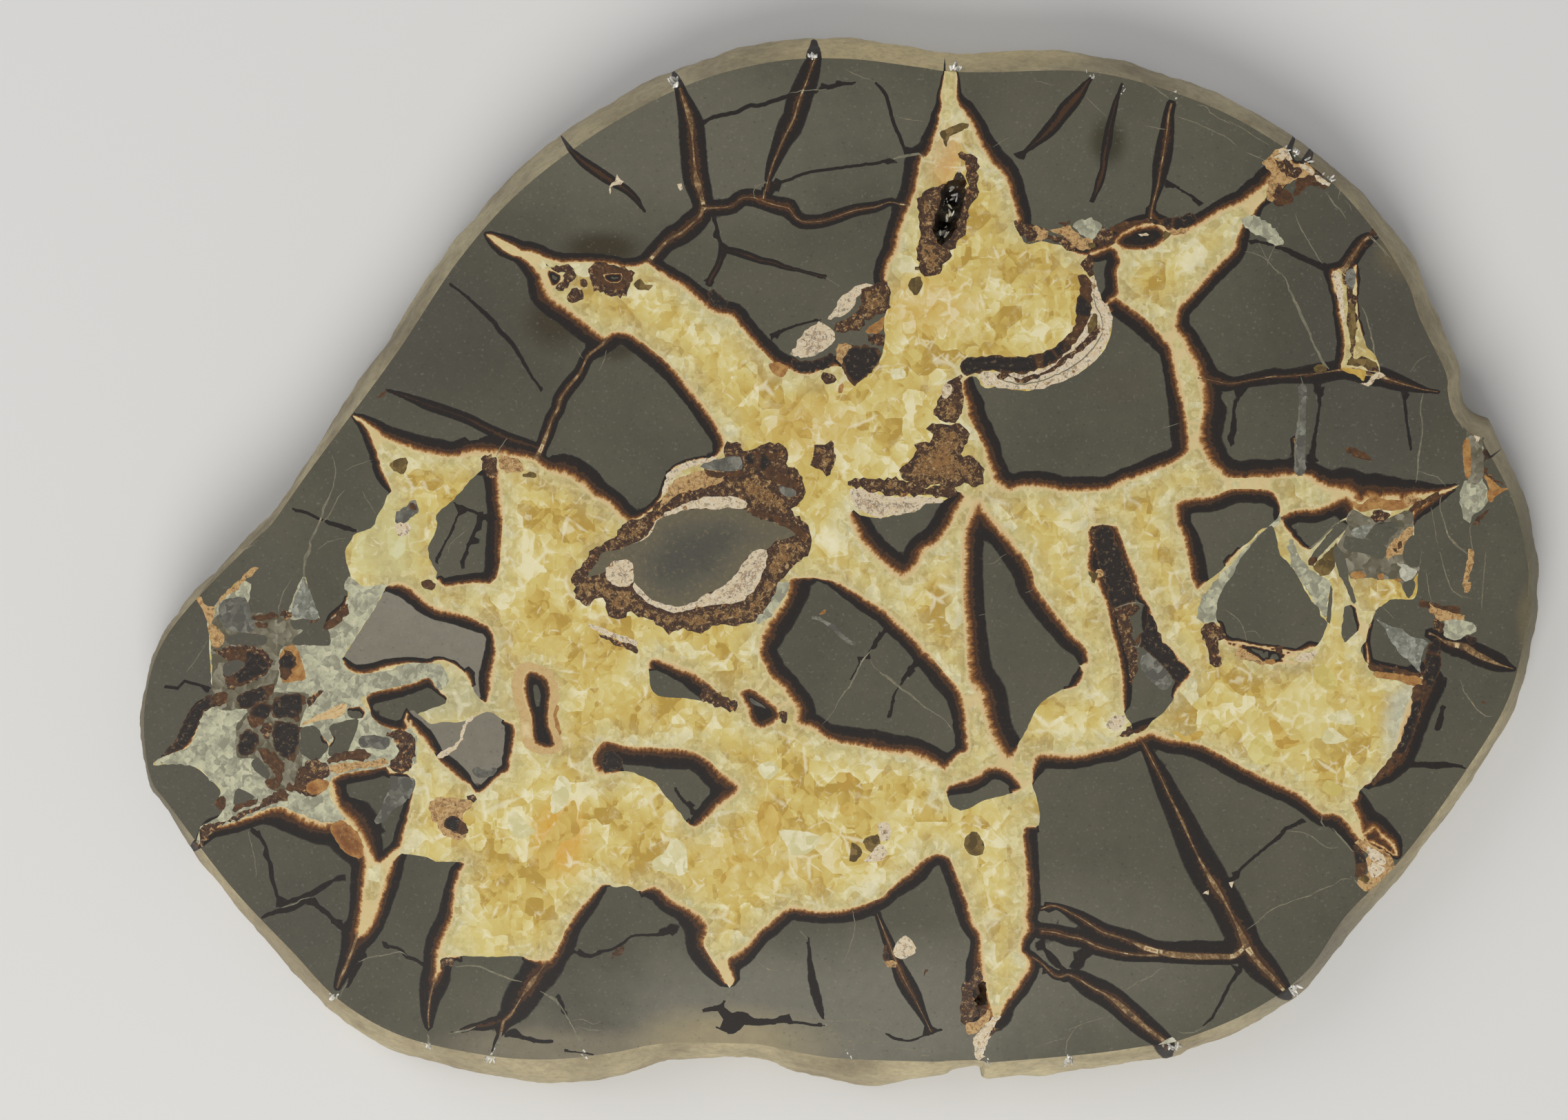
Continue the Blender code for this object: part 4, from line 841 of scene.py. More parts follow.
line 1884 590 1.5,1883 620,1878 650,1879 680
blue 1882 618,1893 620,1892 630,1881 630
dvein 1910 555 1,1913 575 1.5,1913 595,1910 615 1.2,1907 640 1.5,1906 665 1.2
line 1825 352 .8,1840 380 1,1855 395,1862 400,1870 420 2,1880 440 3,1888 460 3.5,1898 480 3,1904 497 2,
1912 512 3,1918 525,1928 535 2
line 2064 570 1.5,2060 590,2062 610,2063 625,2060 645,2056 665 2,2057 685 1.5
line 2045 540 .8,2055 525,2070 515
dvein 2037 580 1.5,2039 600 1,2042 625,2046 650
dark 1952 650,1970 652,1985 660,1992 668,1975 665,1958 660
line 2035 383 1.2,2045 385 1.5,2055 395 1.2,2060 400 1
line 1988 342 1.5,1997 352,2008 365,2018 375 1
murk 2112 587,2122 590,2130 600,2142 605,2147 620,2150 645,2152 680,2145 700,2128 700,2124 685,2122 665,
2126 625,2114 600
shell 2128 600,2140 606,2145 620,2146 635,2140 640,2135 620
amber 2122 640,2130 635,2134 660,2132 690,2125 690,2122 665
dark 2152 652,2165 655,2168 660,2156 668,2153 662
line 2110 590 1.5,2116 608,2122 622
dark 2050 994,2066 996,2062 1020,2055 1048,2046 1072,2034 1094,2018 1114,1998 1134,1990 1140,1988 1134,
2020 1092,2032 1068,2042 1042,2047 1018
dvein 2035 1103 4,2048 1108 5,2065 1109,2082 1110 6,2098 1109 5,2110 1110 3,2125 1114 2
dvein 2092 1025 1,2090 1040 1.2,2086 1055 1
line 2118 985 1,2122 1000 1.2,2130 1012 1.5,2142 1028,2155 1038,2165 1038 1
dark 2148 1017,2156 1016,2155 1020,2149 1020
dvein 2062 985 1,2080 985 .8,2092 985
dvein 1935 1200 2,1945 1212 3,1955 1222,1965 1235
tan 1966 1222,1978 1218,2000 1232,2015 1238,2021 1250,2022 1265,2015 1275,2000 1282,1985 1285,1968 1278,
1972 1270,1982 1268,1984 1258,1980 1245,1985 1240,1975 1232
dark 1964 1224,1975 1232,1980 1243,1983 1258,1980 1268,1968 1272,1965 1245,1962 1235
mud 1975 1215 0,1985 1205 20,1995 1200,2005 1212,2018 1222 16,2026 1240 6,2020 1240 4,2005 1228 10,
1990 1222 16
shell 1984 1262,1990 1250,2000 1255,2010 1260,2000 1268,1990 1272
shell 1982 1228,1995 1232,2008 1242,2010 1252,2002 1255,1992 1250,1985 1240
umber 1970 1272,1985 1270,1985 1280,1975 1278
line 1918 1182 2,1916 1192,1922 1200 1.5
line 1933 1200 1.5,1943 1213 2,1953 1224,1963 1236 1.5
line 1866 1205 1.2,1885 1206 1,1903 1213 1.2,1918 1225,1932 1230 1,1942 1228
line 1936 1282 1.5,1945 1275 1.2,1960 1275 1
dvein 1840 1225 2.5,1855 1215 2.2,1865 1203 2,1878 1197 1.8,1888 1190 1.5
straw 1905 970,1925 965,1940 990,1930 1000,1912 990
straw 1918 1140,1925 1132,1945 1140,1947 1148,1935 1155,1920 1148
straw 1960 1042,1972 1036,1975 1045,1970 1052,1962 1048
ivory 1925 1040,1945 1050,1965 1050,1960 1035,1945 1030
ivory 1918 1065,1930 1055,1945 1065,1955 1072,1940 1078,1920 1078
honey 1840 1040,1855 1050,1872 1072,1885 1075,1870 1085,1850 1080
"""


def linear(code):
    """A colour from its sRGB hex code, as the shader takes it."""
    parts = [int(code[i:i + 2], 16) / 255 for i in (1, 3, 5)]
    parts = [p / 12.92 if p <= 0.04045 else ((p + 0.055) / 1.055) ** 2.4 for p in parts]
    return (*parts, 1.0)


def node(tree, kind, inputs=None, out=0, stops=(), **settings):
    """Adds a node with its settings, values, links and colour stops, and gives the output
    asked for, or the node itself."""
    made = tree.nodes.new(kind)
    for name, value in settings.items():
        setattr(made, name, value)
    for i, (place, code) in enumerate(stops):
        band = made.color_ramp.elements
        stop = band[i] if i < 2 else band.new(place)
        stop.position, stop.color = place, linear(code)
    for name, value in (inputs or {}).items():
        if isinstance(value, bpy.types.NodeSocket):
            tree.links.new(value, made.inputs[name])
        else:
            made.inputs[name].default_value = linear(value) if isinstance(value, str) else value
    return made if out is None else made.outputs[out]


# Reading the drawing

def read_shapes(text):
    """Each shape's kind and rows, in the view's pixels; a row that gives no widths keeps
    those before it."""
    shapes = []
    left, top, enlarged = 0.0, 0.0, 1.0
    for line in text.strip().splitlines():
        if line[0].isalpha():
            kind, line = line.split(" ", 1)
            if kind == "crop":
                left, top, enlarged = [float(number) for number in line.split()]
                continue
            shapes.append((kind, []))
        for point in line.split(","):
            if point.strip():
                row = [float(number) for number in point.split()]
                if enlarged != 1:
                    row[0] = float(round(left + row[0] / enlarged))
                    row[1] = float(round(top + row[1] / enlarged))
                before = shapes[-1][1][-1] if shapes[-1][1] else []
                shapes[-1][1].append(row + before[len(row):])
    return shapes


def on_face(pixels, level=THICKNESS):
    """Where the lines of sight through pixels of the view meet the face or another level."""
    x = (pixels[:, 0] - VIEW_MIDDLE[0])[:, None]
    y = (VIEW_MIDDLE[1] - pixels[:, 1])[:, None]
    rays = x * np.array(VIEW_RIGHT) + y * np.array(VIEW_UP) - VIEW_FOCAL * np.array(VIEW_BACK)
    share = (VIEW_PLACE.z - level) / -rays[:, 2]
    return np.array(VIEW_PLACE)[None, :2] + rays[:, :2] * share[:, None]


def curve_point(four, s):
    """The row a share s of the way from the second to the third of four (Catmull-Rom)."""
    before, start, end, after = four
    return 0.5 * (2 * start + (end - before) * s
                  + (2 * before - 5 * start + 4 * end - after) * s ** 2
                  + (3 * start - before - 3 * end + after) * s ** 3)


def smooth(rows, closed, step):
    """The smooth curve through the rows, with a row about every step."""
    count = len(rows)
    made = []
    for i in range(count if closed else count - 1):
        if closed:
            four = [rows[(i + shift) % count] for shift in (-1, 0, 1, 2)]
        else:
            four = [rows[min(max(i + shift, 0), count - 1)] for shift in (-1, 0, 1, 2)]
        pieces = max(1, round(np.linalg.norm(four[2][:2] - four[1][:2]) / step))
        made += [curve_point(four, piece / pieces) for piece in range(pieces)]
    if not closed:
        made.append(rows[-1])
    return np.array(made)


def sideways(points, closed):
    """Unit vectors square to a curve, on its left."""
    if closed:
        along = np.roll(points, -1, 0) - np.roll(points, 1, 0)
    else:
        along = np.gradient(points, axis=0)
    left = np.stack([-along[:, 1], along[:, 0]], 1)
    return left / np.maximum(np.linalg.norm(left, axis=1), 1e-9)[:, None]


def signed_area(points):
    x, y = points[:, 0], points[:, 1]
    return 0.5 * np.sum(x * np.roll(y, -1) - y * np.roll(x, -1))


def inside(points, outline):
    """Which points lie within a closed outline."""
    found = np.zeros(len(points), bool)
    low, high = outline.min(0), outline.max(0)
    near = np.flatnonzero(((points >= low) & (points <= high)).all(1))
    if not len(near):
        return found
    x, y = points[near, 0], points[near, 1]
    hits = np.zeros(len(near), bool)
    ahead = np.roll(outline, -1, 0)
    for (x1, y1), (x2, y2) in zip(outline, ahead):
        if y1 != y2:
            crosses = (y1 > y) != (y2 > y)
            hits ^= crosses & (x < (x2 - x1) * (y - y1) / (y2 - y1) + x1)
    found[near] = hits
    return found


WALLED = ("calcite", "mud", "mudlight", "mudcore")
VEIN_START = 0.38
CRACK_START = 0.66
ROUGHNESS = {"calcite": 0.035, "mud": 0.035, "mudlight": 0.035, "crust": 0.13, "dark": 0.1,
             "shell": 0.07, "tan": 0.09, "void": 0.12, "pale": 0.1}


def tapered(count):
    """Shares of a crack's width that fall away over its last few points."""
    place = np.arange(count)
    return np.minimum(1.0, 0.35 + 0.25 * np.minimum(place, place[::-1]))


class Drawing:
    """The drawn shapes as outlines for one face: areas, constraint lines and linings."""

    def __init__(self, shapes, step, small_too):
        self.areas = []
        self.lines = []
        self.rows = []
        self.walls = []
        self.cracks = []
        self.random = np.random.default_rng(SEED)
        for kind, points in shapes:
            if kind == "vein":
                self.add_vein(points, step)
            elif kind in ("dvein", "line"):
                if small_too:
                    self.add_crack(kind, points, step)
            elif small_too or len(points) > 12:
                self.add_area(kind, points, step)

    def add_area(self, kind, points, step):
        width = 0.0 if kind in WALLED and max(len(p) for p in points) > 2 else 5.0
        rows = []
        for point in points:
            if len(point) > 2:
                width = point[2]
            rows.append([point[0], point[1], width])
        rows = np.array(rows)
        rows = np.column_stack([on_face(rows), rows[:, 2] * PIXEL])
        short = step if len(rows) > 12 else step * 0.7
        curve = smooth(rows, True, short)
        curve[:, 2] = np.maximum(curve[:, 2], 0)
        left = sideways(curve[:, :2], True)
        wander = self.random.normal(0, ROUGHNESS.get(kind, 0.05), len(curve))
        curve[:, :2] += left * wander[:, None]
        self.areas.append((kind, curve[:, :2]))
        self.lines.append((curve[:, :2], True))
        if kind in WALLED:
            turn = 1 if signed_area(curve[:, :2]) > 0 else -1
            mud_side = -turn if kind == "calcite" else turn
            self.add_walls(curve[:, :2], curve[:, 2], left * mud_side)

    def add_walls(self, points, widths, inward, start=0.0):
        """A wall's lining: rows of points across it, and what the shading reads. A narrow
        vein has no pale layer, so its lining starts at some depth."""
        run = np.concatenate([[0], np.cumsum(np.linalg.norm(np.diff(points, axis=0), axis=1))])
        offset = self.random.uniform(0, 900)
        for point, width, along in zip(points, widths, run):
            if width > 0.12:
                self.walls.append((*point, width, offset + along, start))
        for share in (0.3, 0.62, 0.97, 1.2):
            self.rows.append((points + inward * (widths * share)[:, None])[widths > 0.3])

    def add_vein(self, points, step):
        rows = np.array([p + [p[2]] * (4 - len(p)) for p in points])
        rows = np.column_stack([on_face(rows), rows[:, 2:] * PIXEL])
        curve = smooth(rows, False, step)
        core, wall = np.maximum(curve[:, 2] * 0.6, 0.03), np.maximum(curve[:, 3], 0.05)
        middle = curve[:, :2]
        left = sideways(middle, False)
        sides = [middle + left * core[:, None], middle - left * core[:, None]]
        if core.max() > 0.08:
            outline = np.concatenate([sides[0], sides[1][::-1]])
            self.areas.append(("vein", outline))
            self.lines.append((outline, True))
        else:
            self.lines.append((middle, False))
        for side, way in zip(sides, (left, -left)):
            self.add_walls(side, np.maximum(wall - core, 0.02), way, VEIN_START)

    def add_crack(self, kind, points, step):
        rows = np.array([p + [1.0] * (3 - len(p)) for p in points])
        rows = np.column_stack([on_face(rows), rows[:, 2] * PIXEL])
        curve = smooth(rows, False, step * 0.9)
        middle, half = curve[:, :2], curve[:, 2] * tapered(len(curve))
        left = sideways(middle, False)
        middle = middle + left * self.random.normal(0, 0.03, len(middle))[:, None]
        if kind == "line":
            half = half * 0.62
            sides = [middle + left * half[:, None], middle - left * half[:, None]]
            outline = np.concatenate([sides[0], sides[1][::-1]])
            self.areas.append(("line", outline))
            self.lines.append((outline, True))
        else:
            self.lines.append((middle, False))
            for point, width in zip(middle, half):
                self.cracks.append((*point, max(width * 0.85, 0.06)))
            for way in (left, -left):
                self.rows.append(middle + way * (half * 1.1)[:, None])


# The slab's outline and rim

def rim_table():
    """The rim's widest line, the way inwards and the run to the face, all round."""
    rows = np.array([[float(n) for n in point.split()] for point in RIM.split(",")])
    # The points are good to about a pixel, so their places are kept to 0.1 mm
    rows[:, :2] = np.round(on_face(rows, WIDEST_LEVEL), 1)
    made = []
    for i in range(len(rows)):
        four = [rows[(i + shift) % len(rows)] for shift in (-1, 0, 1, 2)]
        made += [curve_point(four, step / RIM_STEPS) for step in range(RIM_STEPS)]
    made = np.array(made)
    spread = 3 * RIM_STEPS // 2
    along = np.roll(made, -spread, 0)[:, :2] - np.roll(made, spread, 0)[:, :2]
    inward = np.stack([along[:, 1], -along[:, 0]], 1)
    inward /= np.linalg.norm(inward, axis=1)[:, None]
    return made[:, :2], inward, made[:, 2]


RIM_LINE, RIM_INWARD, RIM_RUN = rim_table()


def read_round(rows, places):
    """Rows that go all round the rim, read off at places counted in rim steps."""
    low = np.floor(places).astype(int) % len(rows)
    part = (places - np.floor(places))[:, None]
    return rows[low] * (1 - part) + rows[(low + 1) % len(rows)] * part


def rim_ring(level, places=None):
    """The slab's outline at a level, at all rim steps or at given places round it."""
    inset = np.interp(level, SIDE_LEVELS, SIDE_INSETS)
    share = np.interp(level, SIDE_LEVELS, SIDE_SHARES)
    ring = RIM_LINE + RIM_INWARD * (inset + share * RIM_RUN)[:, None]
    return ring if places is None else read_round(ring, places)


def face_outline():
    """The edge of the polished face, without the steps back that a sharp notch gives."""
    kept = []
    for point, way in zip(rim_ring(THICKNESS), RIM_INWARD):
        ahead = np.array([-way[1], way[0]])
        if not kept or (point - kept[-1]) @ ahead > 0.05:
            kept.append(point)
    return np.array(kept)


def rim_places(points):
    """Where along the face's outline each boundary point lies, in rim steps. The points
    run against the rim's own order, so the places fall."""
    ring = rim_ring(THICKNESS)
    ahead = np.roll(ring, -1, 0)
    span = ahead - ring
    places = []
    for point in points:
        share = np.clip(np.sum((point - ring) * span, 1) / np.sum(span ** 2, 1), 0, 1)
        gap = np.linalg.norm(ring + span * share[:, None] - point, axis=1)
        best = int(np.argmin(gap))
        places.append(best + share[best])
    places = np.unwrap(np.array(places), period=len(ring))
    return np.minimum.accumulate(places)


# Filling an outline with triangles that follow the drawing

def thinned(points, taken, gap):
    """The points that keep a gap to the ones before them."""
    grid = {}
    for x, y in taken:
        grid.setdefault((int(x // gap), int(y // gap)), []).append((x, y))
    kept = []
    for x, y in points:
        cell = (int(x // gap), int(y // gap))
        close = False
        for i in (-1, 0, 1):
            for j in (-1, 0, 1):
                for a, b in grid.get((cell[0] + i, cell[1] + j), ()):
                    if (a - x) ** 2 + (b - y) ** 2 < gap * gap:
                        close = True
        if not close:
            grid.setdefault(cell, []).append((x, y))
            kept.append((x, y))
    return np.array(kept).reshape(-1, 2)


def mosaic(outline, drawing, spacing, gap, spread, keep_rim):
    """Triangles over an outline: points, corner numbers and each triangle's kind. Their
    corners come back in single precision, so the outline is rounded to it too: otherwise
    flat triangles just outside a nearly straight edge would count as inside."""
    outline = outline.astype(np.float32).astype(float)
    points = [outline]
    edges = [(i, (i + 1) % len(outline)) for i in range(len(outline))]
    count = len(outline)
    inner = outline
    if keep_rim:
        inner = outline - sideways(outline, True) * np.sign(signed_area(outline)) * -0.7
    for line, closed in drawing.lines:
        line = line * spread
        if keep_rim:
            fine = inside(line, inner)
        else:
            fine = np.ones(len(line), bool)
        points.append(line)
        last = len(line) if closed else len(line) - 1
        for i in range(last):
            j = (i + 1) % len(line)
            if fine[i] and fine[j]:
                edges.append((count + i, count + j))
        if keep_rim:
            points[-1] = np.where(fine[:, None], line, outline[0])
        count += len(line)
    taken = np.concatenate(points)
    rows = np.concatenate(drawing.rows) * spread
    low, high = outline.min(0), outline.max(0)
    xs, ys = np.meshgrid(np.arange(low[0], high[0], spacing),
                         np.arange(low[1], high[1], spacing * 0.866))
    xs[1::2] += spacing / 2
    rest = np.column_stack([xs.ravel(), ys.ravel()])
    rest = rest + drawing.random.uniform(-0.2, 0.2, rest.shape) * spacing
    rows = rows[inside(rows, inner)]
    rest = rest[inside(rest, inner)]
    loose = thinned(rows, taken, gap)
    loose = np.concatenate([loose, thinned(rest, np.concatenate([taken, loose]), spacing * 0.6)])
    taken = np.concatenate([taken, loose])
    made = delaunay_2d_cdt([Vector(p) for p in taken], edges, [], 0, 0.004, False)
    corners = np.array([list(face) for face in made[2]])
    places = np.array([list(p) for p in made[0]])
    middles = places[corners].mean(1)
    within = inside(middles, outline)
    corners, middles = corners[within], middles[within]
    kinds = np.full(len(corners), "mud", dtype="<U10")
    for kind, area in drawing.areas:
        kinds[inside(middles, area * spread)] = kind
    used = np.unique(corners)
    renumber = np.full(len(places), -1)
    renumber[used] = np.arange(len(used))
    return places[used], renumber[corners], kinds


def boundary_loop(corners):
    """The outer edge of a triangulated sheet, as point numbers in order."""
    edges = {}
    for a, b, c in corners:
        for edge in ((a, b), (b, c), (c, a)):
            if (edge[1], edge[0]) in edges:
                del edges[(edge[1], edge[0])]
            else:
                edges[edge] = True
    ahead = {a: b for a, b in edges}
    loop = [next(iter(ahead))]
    while ahead[loop[-1]] != loop[0] and len(loop) <= len(ahead):
        loop.append(ahead[loop[-1]])
    if len(loop) != len(ahead):
        raise ValueError("the sheet's edge is not one loop")
    return loop


# What the shading reads at each point

def tree_of(spots):
    """A search tree of places, each with its number."""
    tree = kdtree.KDTree(max(1, len(spots)))
    for i, (x, y) in enumerate(spots):
        tree.insert((x, y, 0), i)
    tree.balance()
    return tree


def near_wall(drawing, points):
    """Depth into the lining (0 at the filling, 1 at the grey mudstone), the distance along
    the wall, and the distance to the nearest wall in mm."""
    wall_tree = tree_of([wall[:2] for wall in drawing.walls])
    crack_tree = tree_of([crack[:2] for crack in drawing.cracks])
    depth, along, gap = [], [], []
    for x, y in points:
        best, best_along, nearest = 3.0, 0.0, 30.0
        for place, i, distance in wall_tree.find_n((x, y, 0), 14):
            width, spot, start = drawing.walls[i][2:]
            nearest = min(nearest, distance)
            deep = start + (1 - start) * distance / width
            if deep < best:
                best, best_along = deep, spot
        if drawing.cracks:
            for place, i, distance in crack_tree.find_n((x, y, 0), 4):
                width = drawing.cracks[i][2]
                best = min(best, CRACK_START + (1 - CRACK_START) * distance / width)
        depth.append(min(best, 3.0))
        along.append(best_along)
        gap.append(nearest)
    return np.array(depth), np.array(along), np.array(gap)


def outline_gap(points, outline):
    """How far each point is from an outline."""
    tree = tree_of(outline)
    return np.array([tree.find((x, y, 0))[2] for x, y in points])


def near_outline(drawing, points):
    """How far each point is from the nearest drawn outline, in mm."""
    return outline_gap(points, np.concatenate([area for kind, area in drawing.areas]))


POCKET_DEPTH = 3.4


def sink(points, drawing):
    """Heights of the face: level, but for the open voids."""
    heights = np.full(len(points), THICKNESS)
    for kind, area in drawing.areas:
        if kind == "void":
            within = inside(points, area)
            if within.any():
                size = math.sqrt(abs(signed_area(area)))
                deepest = min(POCKET_DEPTH, size * 0.6)
                fall = np.minimum(outline_gap(points[within], area) * 2.2, deepest)
                heights[within] -= fall
    return heights


def build_slab(face, back):
    """The polished face, the rings of the rim and the back, ready to be joined."""
    outline = face_outline()
    points, corners, kinds = mosaic(outline, face, FACE_SPACING, 0.22, 1.0, False)
    loop = boundary_loop(corners)
    depth, along, gap = near_wall(face, points)
    coat = near_outline(face, points)
    heights = sink(points, face)
    heights[loop] = THICKNESS

    places = rim_places(points[loop])
    rest = points[loop] - rim_ring(THICKNESS, places)
    out = -rim_inward(places)
    levels = []
    for level in SIDE_RINGS:
        ring = rim_ring(level, places) + rest
        rough = []
        for (x, y), way in zip(ring, out):
            spot = Vector((x, y, level))
            lump = noise.noise(spot * 0.2) * 0.4 + noise.noise(spot * 0.6) * 0.16
            grain = noise.noise(spot * 2.1) * 0.06
            rough.append((lump + grain) * min(1.0, level / 1.5, (THICKNESS - level) / 1.0))
        levels.append(ring + out * np.array(rough)[:, None])

    back_outline = levels[-1][::-1]
    back_points, back_corners, back_kinds = mosaic(back_outline, back, BACK_SPACING, 0.7,
                                                   BACK_SPREAD, True)
    return (points, heights, corners, kinds, depth, along, gap, coat, loop, levels,
            back_points, back_corners, back_kinds)


def rim_inward(places):
    way = read_round(RIM_INWARD, places)
    return way / np.linalg.norm(way, axis=1)[:, None]


def seam_map(flat, turn_from, turn_to):
    """For each point of one ring, the number of the same point in another list."""
    tree = tree_of(turn_to)
    found = [tree.find((x, y, 0)) for x, y in turn_from]
    if max(hit[2] for hit in found) > 0.02:
        raise ValueError("the rim and the back don't meet")
    return [flat[hit[1]] for hit in found]


# Where each side of the slab lies on the baked map, as shares of its width
FACE_ROOM = 0.98
BACK_ROOM = 0.30
MAP_WIDTH = 167.6
MAP_LOWEST = 63.2
MAP_EDGE = 0.01
UPPER_ROOM = 0.765
RIM_ROWS = 4
ROW_LEFT = 0.33
ROW_LENGTH = 0.65
ROW_RISE = 0.057
ROW_HEIGHT = 0.052


def flat_map(points, room, left, low):
    """Map places of points seen square on."""
    u = left + (points[:, 0] + MAP_WIDTH / 2) / MAP_WIDTH * room
    v = low + (points[:, 1] + MAP_LOWEST) / MAP_WIDTH * room
    return np.column_stack([u, v])


def slab_mesh(name, materials, face, back):
    """The closed slab: polished face, weathered rim and sawn back as one skin."""
    (points, heights, corners, kinds, depth, along, gap, coat, loop, levels,
     back_points, back_corners, back_kinds) = build_slab(face, back)
    number = {kind: i for i, kind in enumerate(materials)}
    around = len(loop)
    places = [np.column_stack([points, heights])]
    values = [np.column_stack([depth, along, gap, coat])]
    for ring, level in zip(levels[:-1], SIDE_RINGS[:-1]):
        places.append(np.column_stack([ring, np.full(around, level)]))
        fading = values[0][loop]
        fading[:, 0] += 0.75 * (THICKNESS - level) / THICKNESS
        values.append(fading)
    places.append(np.column_stack([back_points, np.zeros(len(back_points))]))
    under = back_points / BACK_SPREAD
    values.append(np.column_stack([*near_wall(back, under), near_outline(back, under)]))
    rings = [loop]
    count = len(points)
    for ring in levels[:-1]:
        rings.append(list(range(count, count + around)))
        count += around
    back_numbers = list(range(count, count + len(back_points)))
    rings.append(seam_map(back_numbers, levels[-1], back_points))

    faces = [tuple(corner) for corner in corners]
    slots = [number[kind] for kind in kinds]
    maps = [flat_map(points[corner], FACE_ROOM, MAP_EDGE, MAP_EDGE) for corner in corners]

    widest = levels[SIDE_RINGS.index(WIDEST_LEVEL)]
    steps = np.linalg.norm(np.roll(widest, -1, 0) - widest, axis=1)
    run = np.concatenate([[0], np.cumsum(steps)])
    row_run = run[-1] / RIM_ROWS * 1.01
    drops = np.concatenate([[0], np.cumsum(np.abs(np.diff([THICKNESS] + SIDE_RINGS)) + 0.25)])
    drops = drops / drops[-1]
    for i in range(around):
        j = (i + 1) % around
        row = int(run[i] // row_run)
        start = ROW_LEFT + (run[i] - row * row_run) / row_run * ROW_LENGTH
        end = ROW_LEFT + (run[i + 1] - row * row_run) / row_run * ROW_LENGTH
        base = UPPER_ROOM + row * ROW_RISE
        for k in range(len(rings) - 1):
            upper, lower = rings[k], rings[k + 1]
            faces.append((upper[i], lower[i], lower[j], upper[j]))
            slots.append(number["rind"])
            high = base + (1 - drops[k]) * ROW_HEIGHT
            low = base + (1 - drops[k + 1]) * ROW_HEIGHT
            maps.append(np.array([(start, high), (start, low), (end, low), (end, high)]))

    for corner, kind in zip(back_corners, back_kinds):
        faces.append(tuple(back_numbers[c] for c in corner[::-1]))
        slots.append(number["sawn_mud" if kind in ("mud", "mudlight", "mudcore") else "rim_calcite"])
        maps.append(flat_map(back_points[corner[::-1]], BACK_ROOM, MAP_EDGE, UPPER_ROOM))

    mesh = bpy.data.meshes.new(name)
    mesh.from_pydata((np.concatenate(places) * MM).tolist(), [], faces)
    for kind in materials:
        mesh.materials.append(materials[kind])
    mesh.polygons.foreach_set("material_index", slots)
    mesh.polygons.foreach_set("use_smooth", [True] * len(faces))
    layer = mesh.uv_layers.new(name="OFBake")
    layer.data.foreach_set("uv", np.concatenate(maps).ravel())
    values = np.concatenate(values)
    for column, title in enumerate(("lining", "along", "gap", "coat")):
        attribute = mesh.attributes.new(title, "FLOAT", "POINT")
        attribute.data.foreach_set("value", values[:, column])
    mesh.set_sharp_from_angle(angle=math.radians(30))
    mesh.update()
    piece = bpy.data.objects.new(name, mesh)
    bpy.context.scene.collection.objects.link(piece)
    return piece


# Materials

def new_material(name):
    """An empty material, its node tree and the node that gives places on the object."""
    material = bpy.data.materials.new(name)
    material.use_nodes = True
    tree = material.node_tree
    tree.nodes.clear()
    return material, tree, node(tree, "ShaderNodeTexCoord", out="Object")


def finish_material(tree, colour, **settings):
    """The shader and the output; settings give the shader's own sockets."""
    shader = node(tree, "ShaderNodeBsdfPrincipled", {"Base Color": colour, **settings})
    node(tree, "ShaderNodeOutputMaterial", {"Surface": shader}, None)


def with_stains_and_sheen(tree, place, colour, stains_and_sheen, cloud):
    """Lays soft-edged oval patches over a colour, staining and painted sheen alike: middle and
    half-widths in the view's pixels, colour and strength."""
    for x, y, wide, high, code, strength in stains_and_sheen:
        middle = on_face(np.array([[x, y]]))[0] * MM
        shift = node(tree, "ShaderNodeVectorMath", {0: place, 1: (*middle, 0)}, operation="SUBTRACT")
        reach = (1 / (wide * PIXEL * MM), 1 / (high * PIXEL * MM), 0)
        shift = node(tree, "ShaderNodeVectorMath", {0: shift, 1: reach}, operation="MULTIPLY")
        far = node(tree, "ShaderNodeVectorMath", {0: shift}, "Value", operation="LENGTH")
        far = node(tree, "ShaderNodeMath", {0: cloud, 1: -0.8, 2: far}, operation="MULTIPLY_ADD")
        share = node(tree, "ShaderNodeMapRange", {0: far, 1: -0.1, 2: 0.7, 3: strength, 4: 0.0},
                     interpolation_type="SMOOTHSTEP")
        colour = node(tree, "ShaderNodeMix", {0: share, 6: colour, 7: code}, 2, data_type="RGBA")
    return colour


